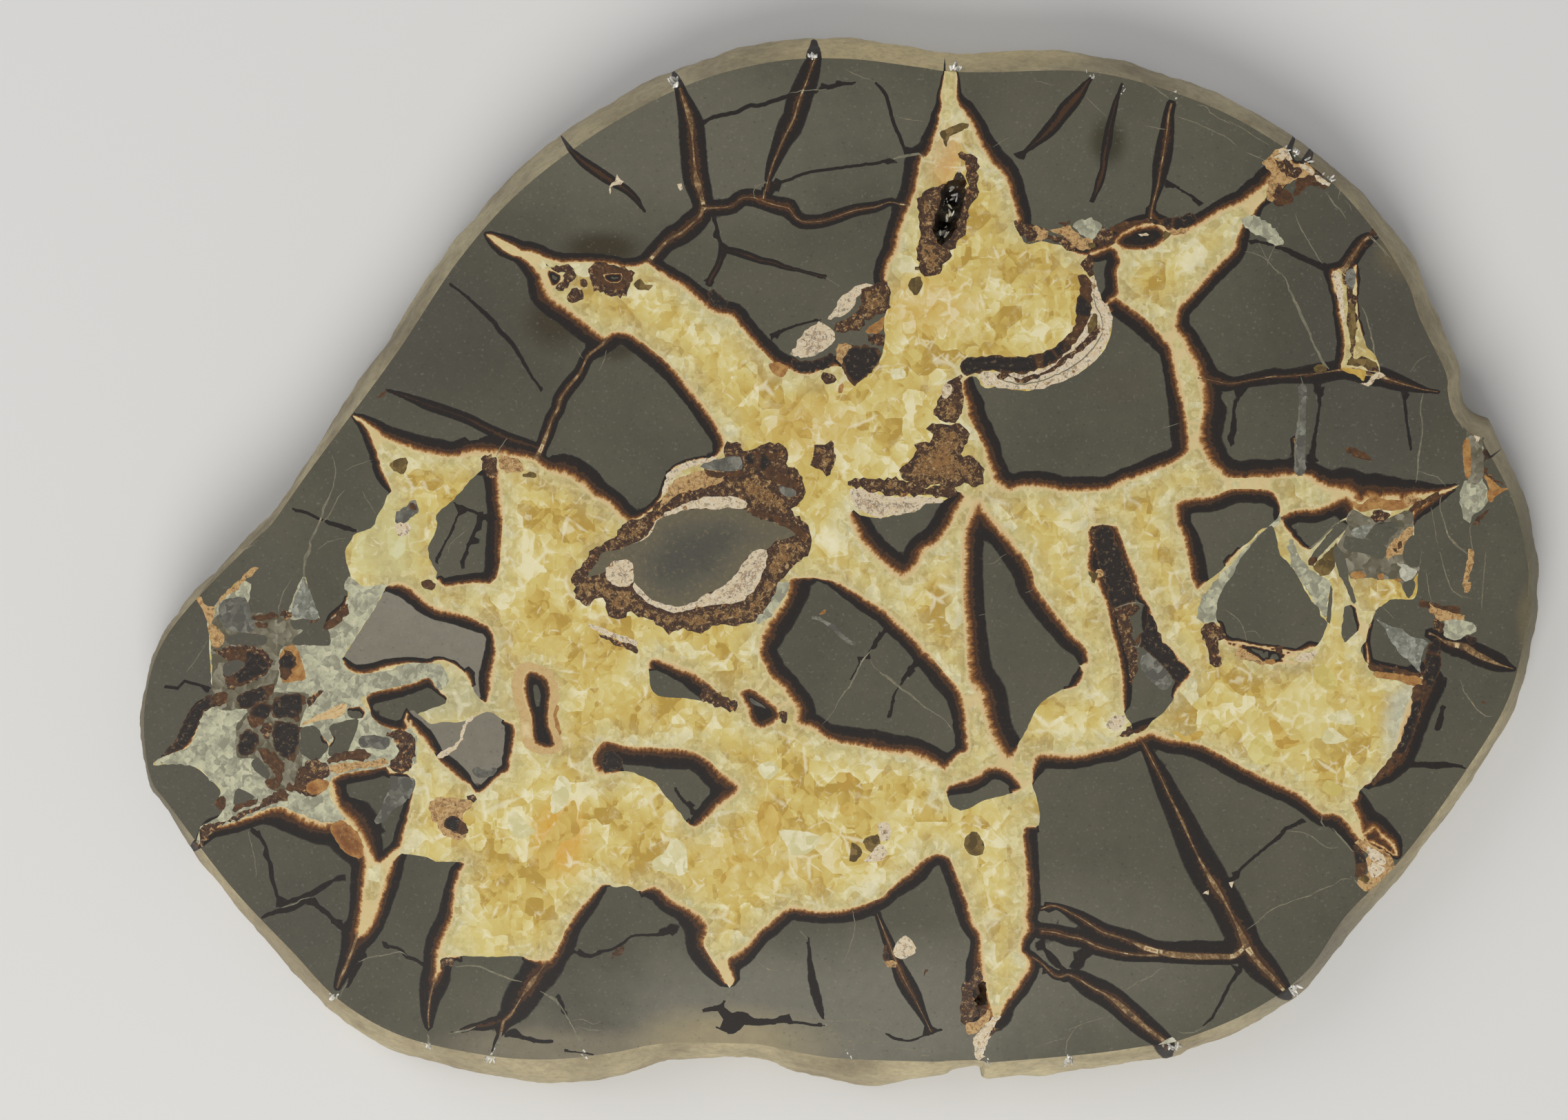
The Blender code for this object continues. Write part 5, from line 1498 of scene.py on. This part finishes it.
def lined(tree, place, stone):
    """The brown calcite lining of the cracks, laid over the stone by its depth: tan and
    amber where it meets the filling, then brown, then nearly black at the mudstone."""
    depth = node(tree, "ShaderNodeAttribute", attribute_name="lining", out="Fac")
    along = node(tree, "ShaderNodeAttribute", attribute_name="along", out="Fac")
    across = node(tree, "ShaderNodeCombineXYZ", {0: along, 1: depth})
    fibres = node(tree, "ShaderNodeTexNoise", {"Vector": across, "Scale": 2.6, "Detail": 3.0,
                                               "Roughness": 0.6})
    grit = node(tree, "ShaderNodeTexNoise", {"Vector": place, "Scale": 1 / (0.5 * MM),
                                             "Detail": 3.0, "Roughness": 0.65})
    drift = node(tree, "ShaderNodeTexNoise", {"Vector": place, "Scale": 1 / (7.0 * MM)})
    reach = node(tree, "ShaderNodeMath", {0: fibres, 1: 0.5, 2: depth}, operation="MULTIPLY_ADD")
    reach = node(tree, "ShaderNodeMath", {0: grit, 1: 0.22, 2: reach}, operation="MULTIPLY_ADD")
    reach = node(tree, "ShaderNodeMath", {0: drift, 1: 0.7, 2: reach}, operation="MULTIPLY_ADD")
    reach = node(tree, "ShaderNodeMapRange", {0: reach, 1: 0.74, 2: 1.8})
    colour = node(tree, "ShaderNodeValToRGB", {0: reach}, stops=LINING_LAYERS)
    pits = node(tree, "ShaderNodeMapRange", {0: grit, 1: 0.58, 2: 0.8, 3: 0.0, 4: 0.35})
    colour = node(tree, "ShaderNodeMix", {0: pits, 6: colour, 7: "#5a4027"}, 2, data_type="RGBA")
    edge = node(tree, "ShaderNodeMath", {0: grit, 1: 0.1, 2: depth}, operation="MULTIPLY_ADD")
    edge = node(tree, "ShaderNodeMapRange", {0: edge, 1: 1.03, 2: 1.1})
    return node(tree, "ShaderNodeMix", {0: edge, 6: colour, 7: stone}, 2, data_type="RGBA")


def mudstone(name, dark, light, polish, stains_and_sheen=()):
    """Mudstone, sawn and polished: dense and even, close to fine concrete, with a low
    gloss. Here and there it holds paler and darker grains."""
    material, tree, place = new_material(name)
    cloud = node(tree, "ShaderNodeTexNoise", {"Vector": place, "Scale": 1 / (18.0 * MM),
                                              "Detail": 4.0, "Roughness": 0.6})
    colour = node(tree, "ShaderNodeValToRGB", {0: cloud}, stops=((0.3, dark), (0.7, light)))
    # Staining, and on the polished mudstone painted sheen and painted shade, laid over the colour
    colour = with_stains_and_sheen(tree, place, colour, stains_and_sheen, cloud)
    mottle = node(tree, "ShaderNodeTexNoise", {"Vector": place, "Scale": 1 / (1.3 * MM),
                                               "Detail": 4.0, "Roughness": 0.7})
    grain = node(tree, "ShaderNodeTexNoise", {"Vector": place, "Scale": 1 / (0.35 * MM)})
    for specks, low, high, strength, code in (
            (mottle, 0.35, 0.7, 0.14, "#2e2c29"), (grain, 0.62, 0.75, 0.22, "#98938a"),
            (grain, 0.36, 0.24, 0.35, "#242220")):
        share = node(tree, "ShaderNodeMapRange", {0: specks, 1: low, 2: high, 3: 0.0, 4: strength})
        colour = node(tree, "ShaderNodeMix", {0: share, 6: colour, 7: code}, 2, data_type="RGBA")
    finish_material(tree, lined(tree, place, colour), Roughness=polish, IOR=1.55)
    return material


def rind():
    """Weathered mudstone rim: rounded in the clay and rubbed over but never polished, so
    it is a pale olive tan, darker in its pits, with a dull sheen."""
    material, tree, place = new_material("mudstone_weathered_rim")
    cloud = node(tree, "ShaderNodeTexNoise", {"Vector": place, "Scale": 1 / (11.0 * MM),
                                              "Detail": 5.0, "Roughness": 0.65})
    colour = node(tree, "ShaderNodeValToRGB", {0: cloud}, stops=(
        (0.32, "#80745a"), (0.44, "#988b6c"), (0.54, "#a89b7a"), (0.68, "#bbae88")))
    # Patches of the rind, with painted light along the rim's top edge
    colour = with_stains_and_sheen(tree, place, colour, RIM_STAINS_AND_PAINTED_LIGHT, cloud)
    grit = node(tree, "ShaderNodeTexNoise", {"Vector": place, "Scale": 1 / (0.9 * MM),
                                             "Detail": 4.0, "Roughness": 0.7})
    share = node(tree, "ShaderNodeMapRange", {0: grit, 1: 0.42, 2: 0.75, 3: 0.0, 4: 0.4})
    colour = node(tree, "ShaderNodeMix", {0: share, 6: colour, 7: "#564d3b"}, 2, data_type="RGBA")
    bump = node(tree, "ShaderNodeBump", {"Height": grit, "Strength": 0.5, "Distance": 0.3 * MM})
    finish_material(tree, lined(tree, place, colour), Roughness=0.7, IOR=1.55, Normal=bump)
    return material


def shards(tree, place, sizes):
    """A random tone for each angular grain of sizes millimetres, tilted across the grain
    as cleavage faces are, from the coarsest grains to the finest."""
    tone = 0.0
    for size, share in sizes:
        cells = node(tree, "ShaderNodeTexVoronoi", {"Vector": place, "Scale": 1 / (size * MM)},
                     None, distance="MANHATTAN")
        pick = node(tree, "ShaderNodeSeparateColor", {0: cells.outputs["Color"]})
        facing = node(tree, "ShaderNodeVectorMath", {0: cells.outputs["Color"], 1: (0.5, 0.5, 0.5)},
                      operation="SUBTRACT")
        offset = node(tree, "ShaderNodeVectorMath", {0: place, 1: cells.outputs["Position"]},
                      operation="SUBTRACT")
        slope = node(tree, "ShaderNodeVectorMath", {0: offset, 1: facing}, "Value",
                     operation="DOT_PRODUCT")
        pick = node(tree, "ShaderNodeMath", {0: slope, 1: 1.6 / (size * MM), 2: pick},
                    operation="MULTIPLY_ADD")
        tone = node(tree, "ShaderNodeMath", {0: pick, 1: share, 2: tone}, operation="MULTIPLY_ADD")
    return tone


def swayed(tree, place, size, reach):
    """Places shifted by up to about reach millimetres, so straight edges bend."""
    sway = node(tree, "ShaderNodeTexNoise", {"Vector": place, "Scale": 1 / (size * MM)}, "Color")
    sway = node(tree, "ShaderNodeVectorMath", {0: sway, 1: (0.5, 0.5, 0.5)}, operation="SUBTRACT")
    sway = node(tree, "ShaderNodeVectorMath", {0: sway, "Scale": reach * MM}, operation="SCALE")
    return node(tree, "ShaderNodeVectorMath", {0: place, 1: sway})


def calcite(name, polish):
    """Calcite spar, sawn and polished: honey-yellow grains a few millimetres wide, paler
    and sugary near the walls and milky where grains touch, with a glassy gloss."""
    material, tree, place = new_material(name)
    bent = swayed(tree, place, 3.0, 0.9)
    tone = shards(tree, bent, ((4.6, 0.42), (2.4, 0.36), (1.1, 0.24)))
    colour = node(tree, "ShaderNodeValToRGB", {0: tone}, stops=(
        (0.1, "#b3923f"), (0.26, "#c6aa56"), (0.42, "#cdb566"), (0.56, "#d2bf72"),
        (0.72, "#dacb8c"), (0.88, "#e5dbb0")))
    milk = node(tree, "ShaderNodeTexNoise", {"Vector": bent, "Scale": 1 / (2.2 * MM), "Detail": 5.0,
                                             "Roughness": 0.7})
    colour = with_stains_and_sheen(tree, place, colour, CALCITE_STAINS, milk)
    share = node(tree, "ShaderNodeMapRange", {0: milk, 1: 0.54, 2: 0.74, 3: 0.0, 4: 0.55})
    colour = node(tree, "ShaderNodeMix", {0: share, 6: colour, 7: "#ddd3a5"}, 2, data_type="RGBA")
    for size, low, strength in ((3.4, 0.5, 0.55), (1.7, 0.52, 0.48)):
        seam = node(tree, "ShaderNodeTexVoronoi", {"Vector": bent, "Scale": 1 / (size * MM)},
                    feature="DISTANCE_TO_EDGE")
        patch = node(tree, "ShaderNodeTexNoise", {"Vector": place, "Scale": 1 / (size * MM)})
        patch = node(tree, "ShaderNodeMapRange", {0: patch, 1: low, 2: low + 0.15, 3: 0.0, 4: 0.09})
        seam = node(tree, "ShaderNodeMath", {0: patch, 1: seam}, operation="SUBTRACT")
        seam = node(tree, "ShaderNodeMapRange", {0: seam, 1: 0.0, 2: 0.06, 3: 0.0, 4: strength})
        colour = node(tree, "ShaderNodeMix", {0: seam, 6: colour, 7: "#ebe4c4"}, 2, data_type="RGBA")
    sugar = shards(tree, bent, ((0.9, 0.55), (0.5, 0.3)))
    sugar = node(tree, "ShaderNodeValToRGB", {0: sugar}, stops=(
        (0.1, "#a8a178"), (0.45, "#c3ba8e"), (0.8, "#dcd5ae")))
    gap = node(tree, "ShaderNodeAttribute", attribute_name="gap", out="Fac")
    shore = node(tree, "ShaderNodeMath", {0: milk, 1: 4.5, 2: gap}, operation="MULTIPLY_ADD")
    share = node(tree, "ShaderNodeMapRange", {0: shore, 1: 2.4, 2: 5.2, 3: 0.62, 4: 0.0})
    colour = node(tree, "ShaderNodeMix", {0: share, 6: colour, 7: sugar}, 2, data_type="RGBA")
    share = node(tree, "ShaderNodeMapRange", {0: gap, 1: 0.05, 2: 0.3, 3: 0.8, 4: 0.0})
    colour = node(tree, "ShaderNodeMix", {0: share, 6: colour, 7: "#d6bf8b"}, 2, data_type="RGBA")
    finish_material(tree, colour, Roughness=polish, IOR=1.58)
    return material


def spar(name, size, codes):
    """A smaller body of calcite, polished flat with the face: its own tones, in shards of
    about size millimetres, and the gloss of the rest."""
    material, tree, place = new_material(name)
    bent = swayed(tree, place, size, size * 0.6)
    tone = shards(tree, bent, ((size, 0.6), (size * 0.45, 0.3)))
    steps = [(0.15 + 0.7 * i / (len(codes) - 1), code) for i, code in enumerate(codes)]
    colour = node(tree, "ShaderNodeValToRGB", {0: tone}, stops=steps)
    finish_material(tree, colour, Roughness=0.25, IOR=1.58)
    return material


def layered(name, reach, wander, size, codes):
    """Calcite coloured by iron that grew in layers and was polished flat with the face: its
    colours follow each other inwards over reach millimetres, broken up by specks of about
    size millimetres and with tiny pits. In the open pocket these colours are partly painted
    shade, darkening inwards."""
    material, tree, place = new_material(name)
    specks = node(tree, "ShaderNodeTexNoise", {"Vector": place, "Scale": 1 / (size * MM),
                                               "Detail": 6.0, "Roughness": 0.7, "Distortion": 0.7})
    coat = node(tree, "ShaderNodeAttribute", attribute_name="coat", out="Fac")
    tone = node(tree, "ShaderNodeMath", {0: coat, 1: 1 / reach, 2: -wander * 0.34},
                operation="MULTIPLY_ADD")
    tone = node(tree, "ShaderNodeMath", {0: specks, 1: wander, 2: tone}, operation="MULTIPLY_ADD")
    steps = [(i / (len(codes) - 1), code) for i, code in enumerate(codes)]
    colour = node(tree, "ShaderNodeValToRGB", {0: tone}, stops=steps)
    flecks = node(tree, "ShaderNodeTexNoise", {"Vector": place, "Scale": 1 / (0.55 * MM),
                                               "Detail": 4.0, "Roughness": 0.75})
    for low, high, code in ((0.55, 0.62, "#1d120a"), (0.43, 0.36, "#c9a877")):
        share = node(tree, "ShaderNodeMapRange", {0: flecks, 1: low, 2: high, 3: 0.0,
                                                  4: min(0.26 * wander, 0.65)})
        colour = node(tree, "ShaderNodeMix", {0: share, 6: colour, 7: code}, 2, data_type="RGBA")
    bump = node(tree, "ShaderNodeBump", {"Height": specks, "Strength": 0.3, "Distance": 0.15 * MM})
    finish_material(tree, colour, Roughness=0.32, IOR=1.58, Normal=bump)
    return material


def all_materials():
    """Every kind of stone that the drawing names, in the order of the slab's slots."""
    made = {
        # The polished mudstone's patches include painted sheen and painted shade
        "mud": mudstone("mudstone_polished", "#4d493b", "#5c5848", 0.3, MUD_STAINS_AND_SHEEN),
        "mudlight": mudstone("mudstone_pale_polished", "#7b7465", "#868071", 0.3),
        "calcite": calcite("calcite_spar_polished", 0.22),
        "rim_calcite": calcite("calcite_spar_rough", 0.6),
        "sawn_mud": mudstone("mudstone_sawn", "#69655a", "#757061", 0.75),
        "rind": rind(),
    }
    for kind, colour, size, codes in SPARS:
        made[kind] = spar("calcite_" + colour + "_polished", size, codes.split())
    for kind, colour, reach, wander, size, codes in LAYERED:
        made[kind] = layered(colour + "_polished", reach, wander, size, codes.split())
    return made


# Crystals that stand free, in the open pocket and where cracks reach the rim

def crystal(name, material):
    """The pattern that is copied: a six-sided calcite crystal, 1 mm wide and 2 mm long,
    standing on the origin and drawn in to a point."""
    bpy.ops.object.select_all(action="DESELECT")
    bpy.ops.mesh.primitive_cylinder_add(vertices=6, radius=0.5 * MM, depth=1.3 * MM,
                                        location=(0, 0, 0.65 * MM))
    made = bpy.context.object
    made.name = name
    made.data.materials.append(material)
    bpy.ops.object.mode_set(mode="EDIT")
    bpy.ops.mesh.select_mode(type="FACE")
    bpy.ops.mesh.select_all(action="DESELECT")
    bpy.ops.object.mode_set(mode="OBJECT")
    for face in made.data.polygons:
        face.select = face.normal.z > 0.9
    bpy.ops.object.mode_set(mode="EDIT")
    for rise, narrow in ((0.45, 0.6), (0.25, 0.2)):
        bpy.ops.mesh.extrude_region_move(TRANSFORM_OT_translate={"value": (0, 0, rise * MM)})
        bpy.ops.transform.resize(value=(narrow, narrow, 1))
    bpy.ops.object.mode_set(mode="OBJECT")
    bpy.ops.object.transform_apply(location=True, rotation=True, scale=True)
    return made


def footing(spot, face, drawing):
    """The height at which a crystal stands: on the pocket's floor or on the rim's slope."""
    if inside(spot[None], face)[0]:
        return sink(spot[None], drawing)[0]
    gaps = np.linalg.norm(RIM_LINE - spot, axis=1)
    nearest = int(np.argmin(gaps))
    return np.interp(gaps[nearest] / RIM_RUN[nearest], SIDE_SHARES[2:7], SIDE_LEVELS[2:7])


def crystal_material(name, code):
    """Calcite crystals as they grew: glassy and pale, with sharp glints from their faces."""
    material, tree, place = new_material(name)
    cloud = node(tree, "ShaderNodeTexNoise", {"Vector": place, "Scale": 1 / (0.8 * MM)})
    colour = node(tree, "ShaderNodeValToRGB", {0: cloud}, stops=((0.35, "#8d897e"), (0.6, code)))
    finish_material(tree, colour, Roughness=0.12, IOR=1.58)
    return material


def make_crystals(drawing):
    """One piece for each kind of crystal, made of turned and leaning copies."""
    random = np.random.default_rng(SEED)
    face = face_outline()
    for name, code, count, groups in CRYSTALS:
        pattern = crystal(name + "_pattern", crystal_material("calcite_" + name, code))
        bpy.ops.object.select_all(action="DESELECT")
        for x, y, wide, high, way in groups:
            for i in range(count):
                pixel = np.array([[x + random.uniform(-wide, wide), y + random.uniform(-high, high)]])
                spot = on_face(pixel)[0]
                width = random.uniform(*CRYSTAL_WIDTHS)
                length = random.uniform(*CRYSTAL_LENGTHS)
                lean = math.radians(random.uniform(*CRYSTAL_LEANS))
                tall = 2 * length * math.cos(lean) + 0.5 * width
                foot = min(footing(spot, face, drawing) - SUNK, THICKNESS + PROUD - tall)
                made = pattern.copy()
                made.data = pattern.data.copy()
                made.location = (*(spot * MM), foot * MM)
                turn = way + random.uniform(-CRYSTAL_TURN, CRYSTAL_TURN)
                made.rotation_euler = (0, lean, math.radians(turn))
                made.scale = (width, width, length)
                bpy.context.scene.collection.objects.link(made)
                made.select_set(True)
                bpy.context.view_layer.objects.active = made
        bpy.ops.object.join()
        bpy.ops.object.transform_apply(location=True, rotation=True, scale=True)
        piece = bpy.context.object
        piece.name = name
        bpy.data.objects.remove(pattern, do_unlink=True)
        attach(piece, "root")


def make_floor():
    """A plain pale table that isn't part of the stone."""
    bpy.ops.object.select_all(action="DESELECT")
    bpy.ops.mesh.primitive_plane_add(size=6.0, location=(0, 0, 0))
    floor = bpy.context.object
    floor.name = "floor"
    material, tree, place = new_material("paper_matt")
    finish_material(tree, "#dbdad8", Roughness=0.9)
    floor.data.materials.append(material)


def soft_light(name, place, size, watts, colour):
    data = bpy.data.lights.new(name, "AREA")
    data.shape = "DISK"
    data.size = size
    data.energy = watts
    data.color = linear(colour)[:3]
    lamp = bpy.data.objects.new(name, data)
    lamp.location = place
    lamp.rotation_euler = Vector(place).to_track_quat("Z", "Y").to_euler()
    bpy.context.scene.collection.objects.link(lamp)


def make_lights():
    world = bpy.data.worlds.new("studio")
    world.use_nodes = True
    background = world.node_tree.nodes["Background"]
    background.inputs["Color"].default_value = linear("#f4f5f7")
    background.inputs["Strength"].default_value = 0.4
    bpy.context.scene.world = world
    soft_light("key", (-0.15, -0.8, 0.8), 0.7, 8.9, "#fffdf8")
    soft_light("fill", (-0.7, 0.5, 0.8), 0.8, 3.3, "#f8faff")


def make_camera():
    data = bpy.data.cameras.new("camera")
    data.sensor_fit = "HORIZONTAL"
    data.sensor_width = SENSOR
    data.lens = SENSOR * VIEW_FOCAL / VIEW_WIDTH
    data.clip_start = 0.01
    camera = bpy.data.objects.new("camera", data)
    turn = Matrix((VIEW_RIGHT, VIEW_UP, VIEW_BACK)).transposed().to_4x4()
    camera.matrix_world = Matrix.Translation(VIEW_PLACE * MM) @ turn
    bpy.context.scene.collection.objects.link(camera)
    bpy.context.scene.camera = camera


bpy.context.scene.view_settings.view_transform = "Standard"
drawn_shapes = read_shapes(DRAWN)
face_drawing = Drawing(drawn_shapes, FACE_STEP, True)
back_drawing = Drawing(drawn_shapes, BACK_STEP, False)
slab = slab_mesh("septarian_slab", all_materials(), face_drawing, back_drawing)
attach(slab, "root")
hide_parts("nodule_slice")
make_crystals(face_drawing)
make_floor()
make_lights()
make_camera()
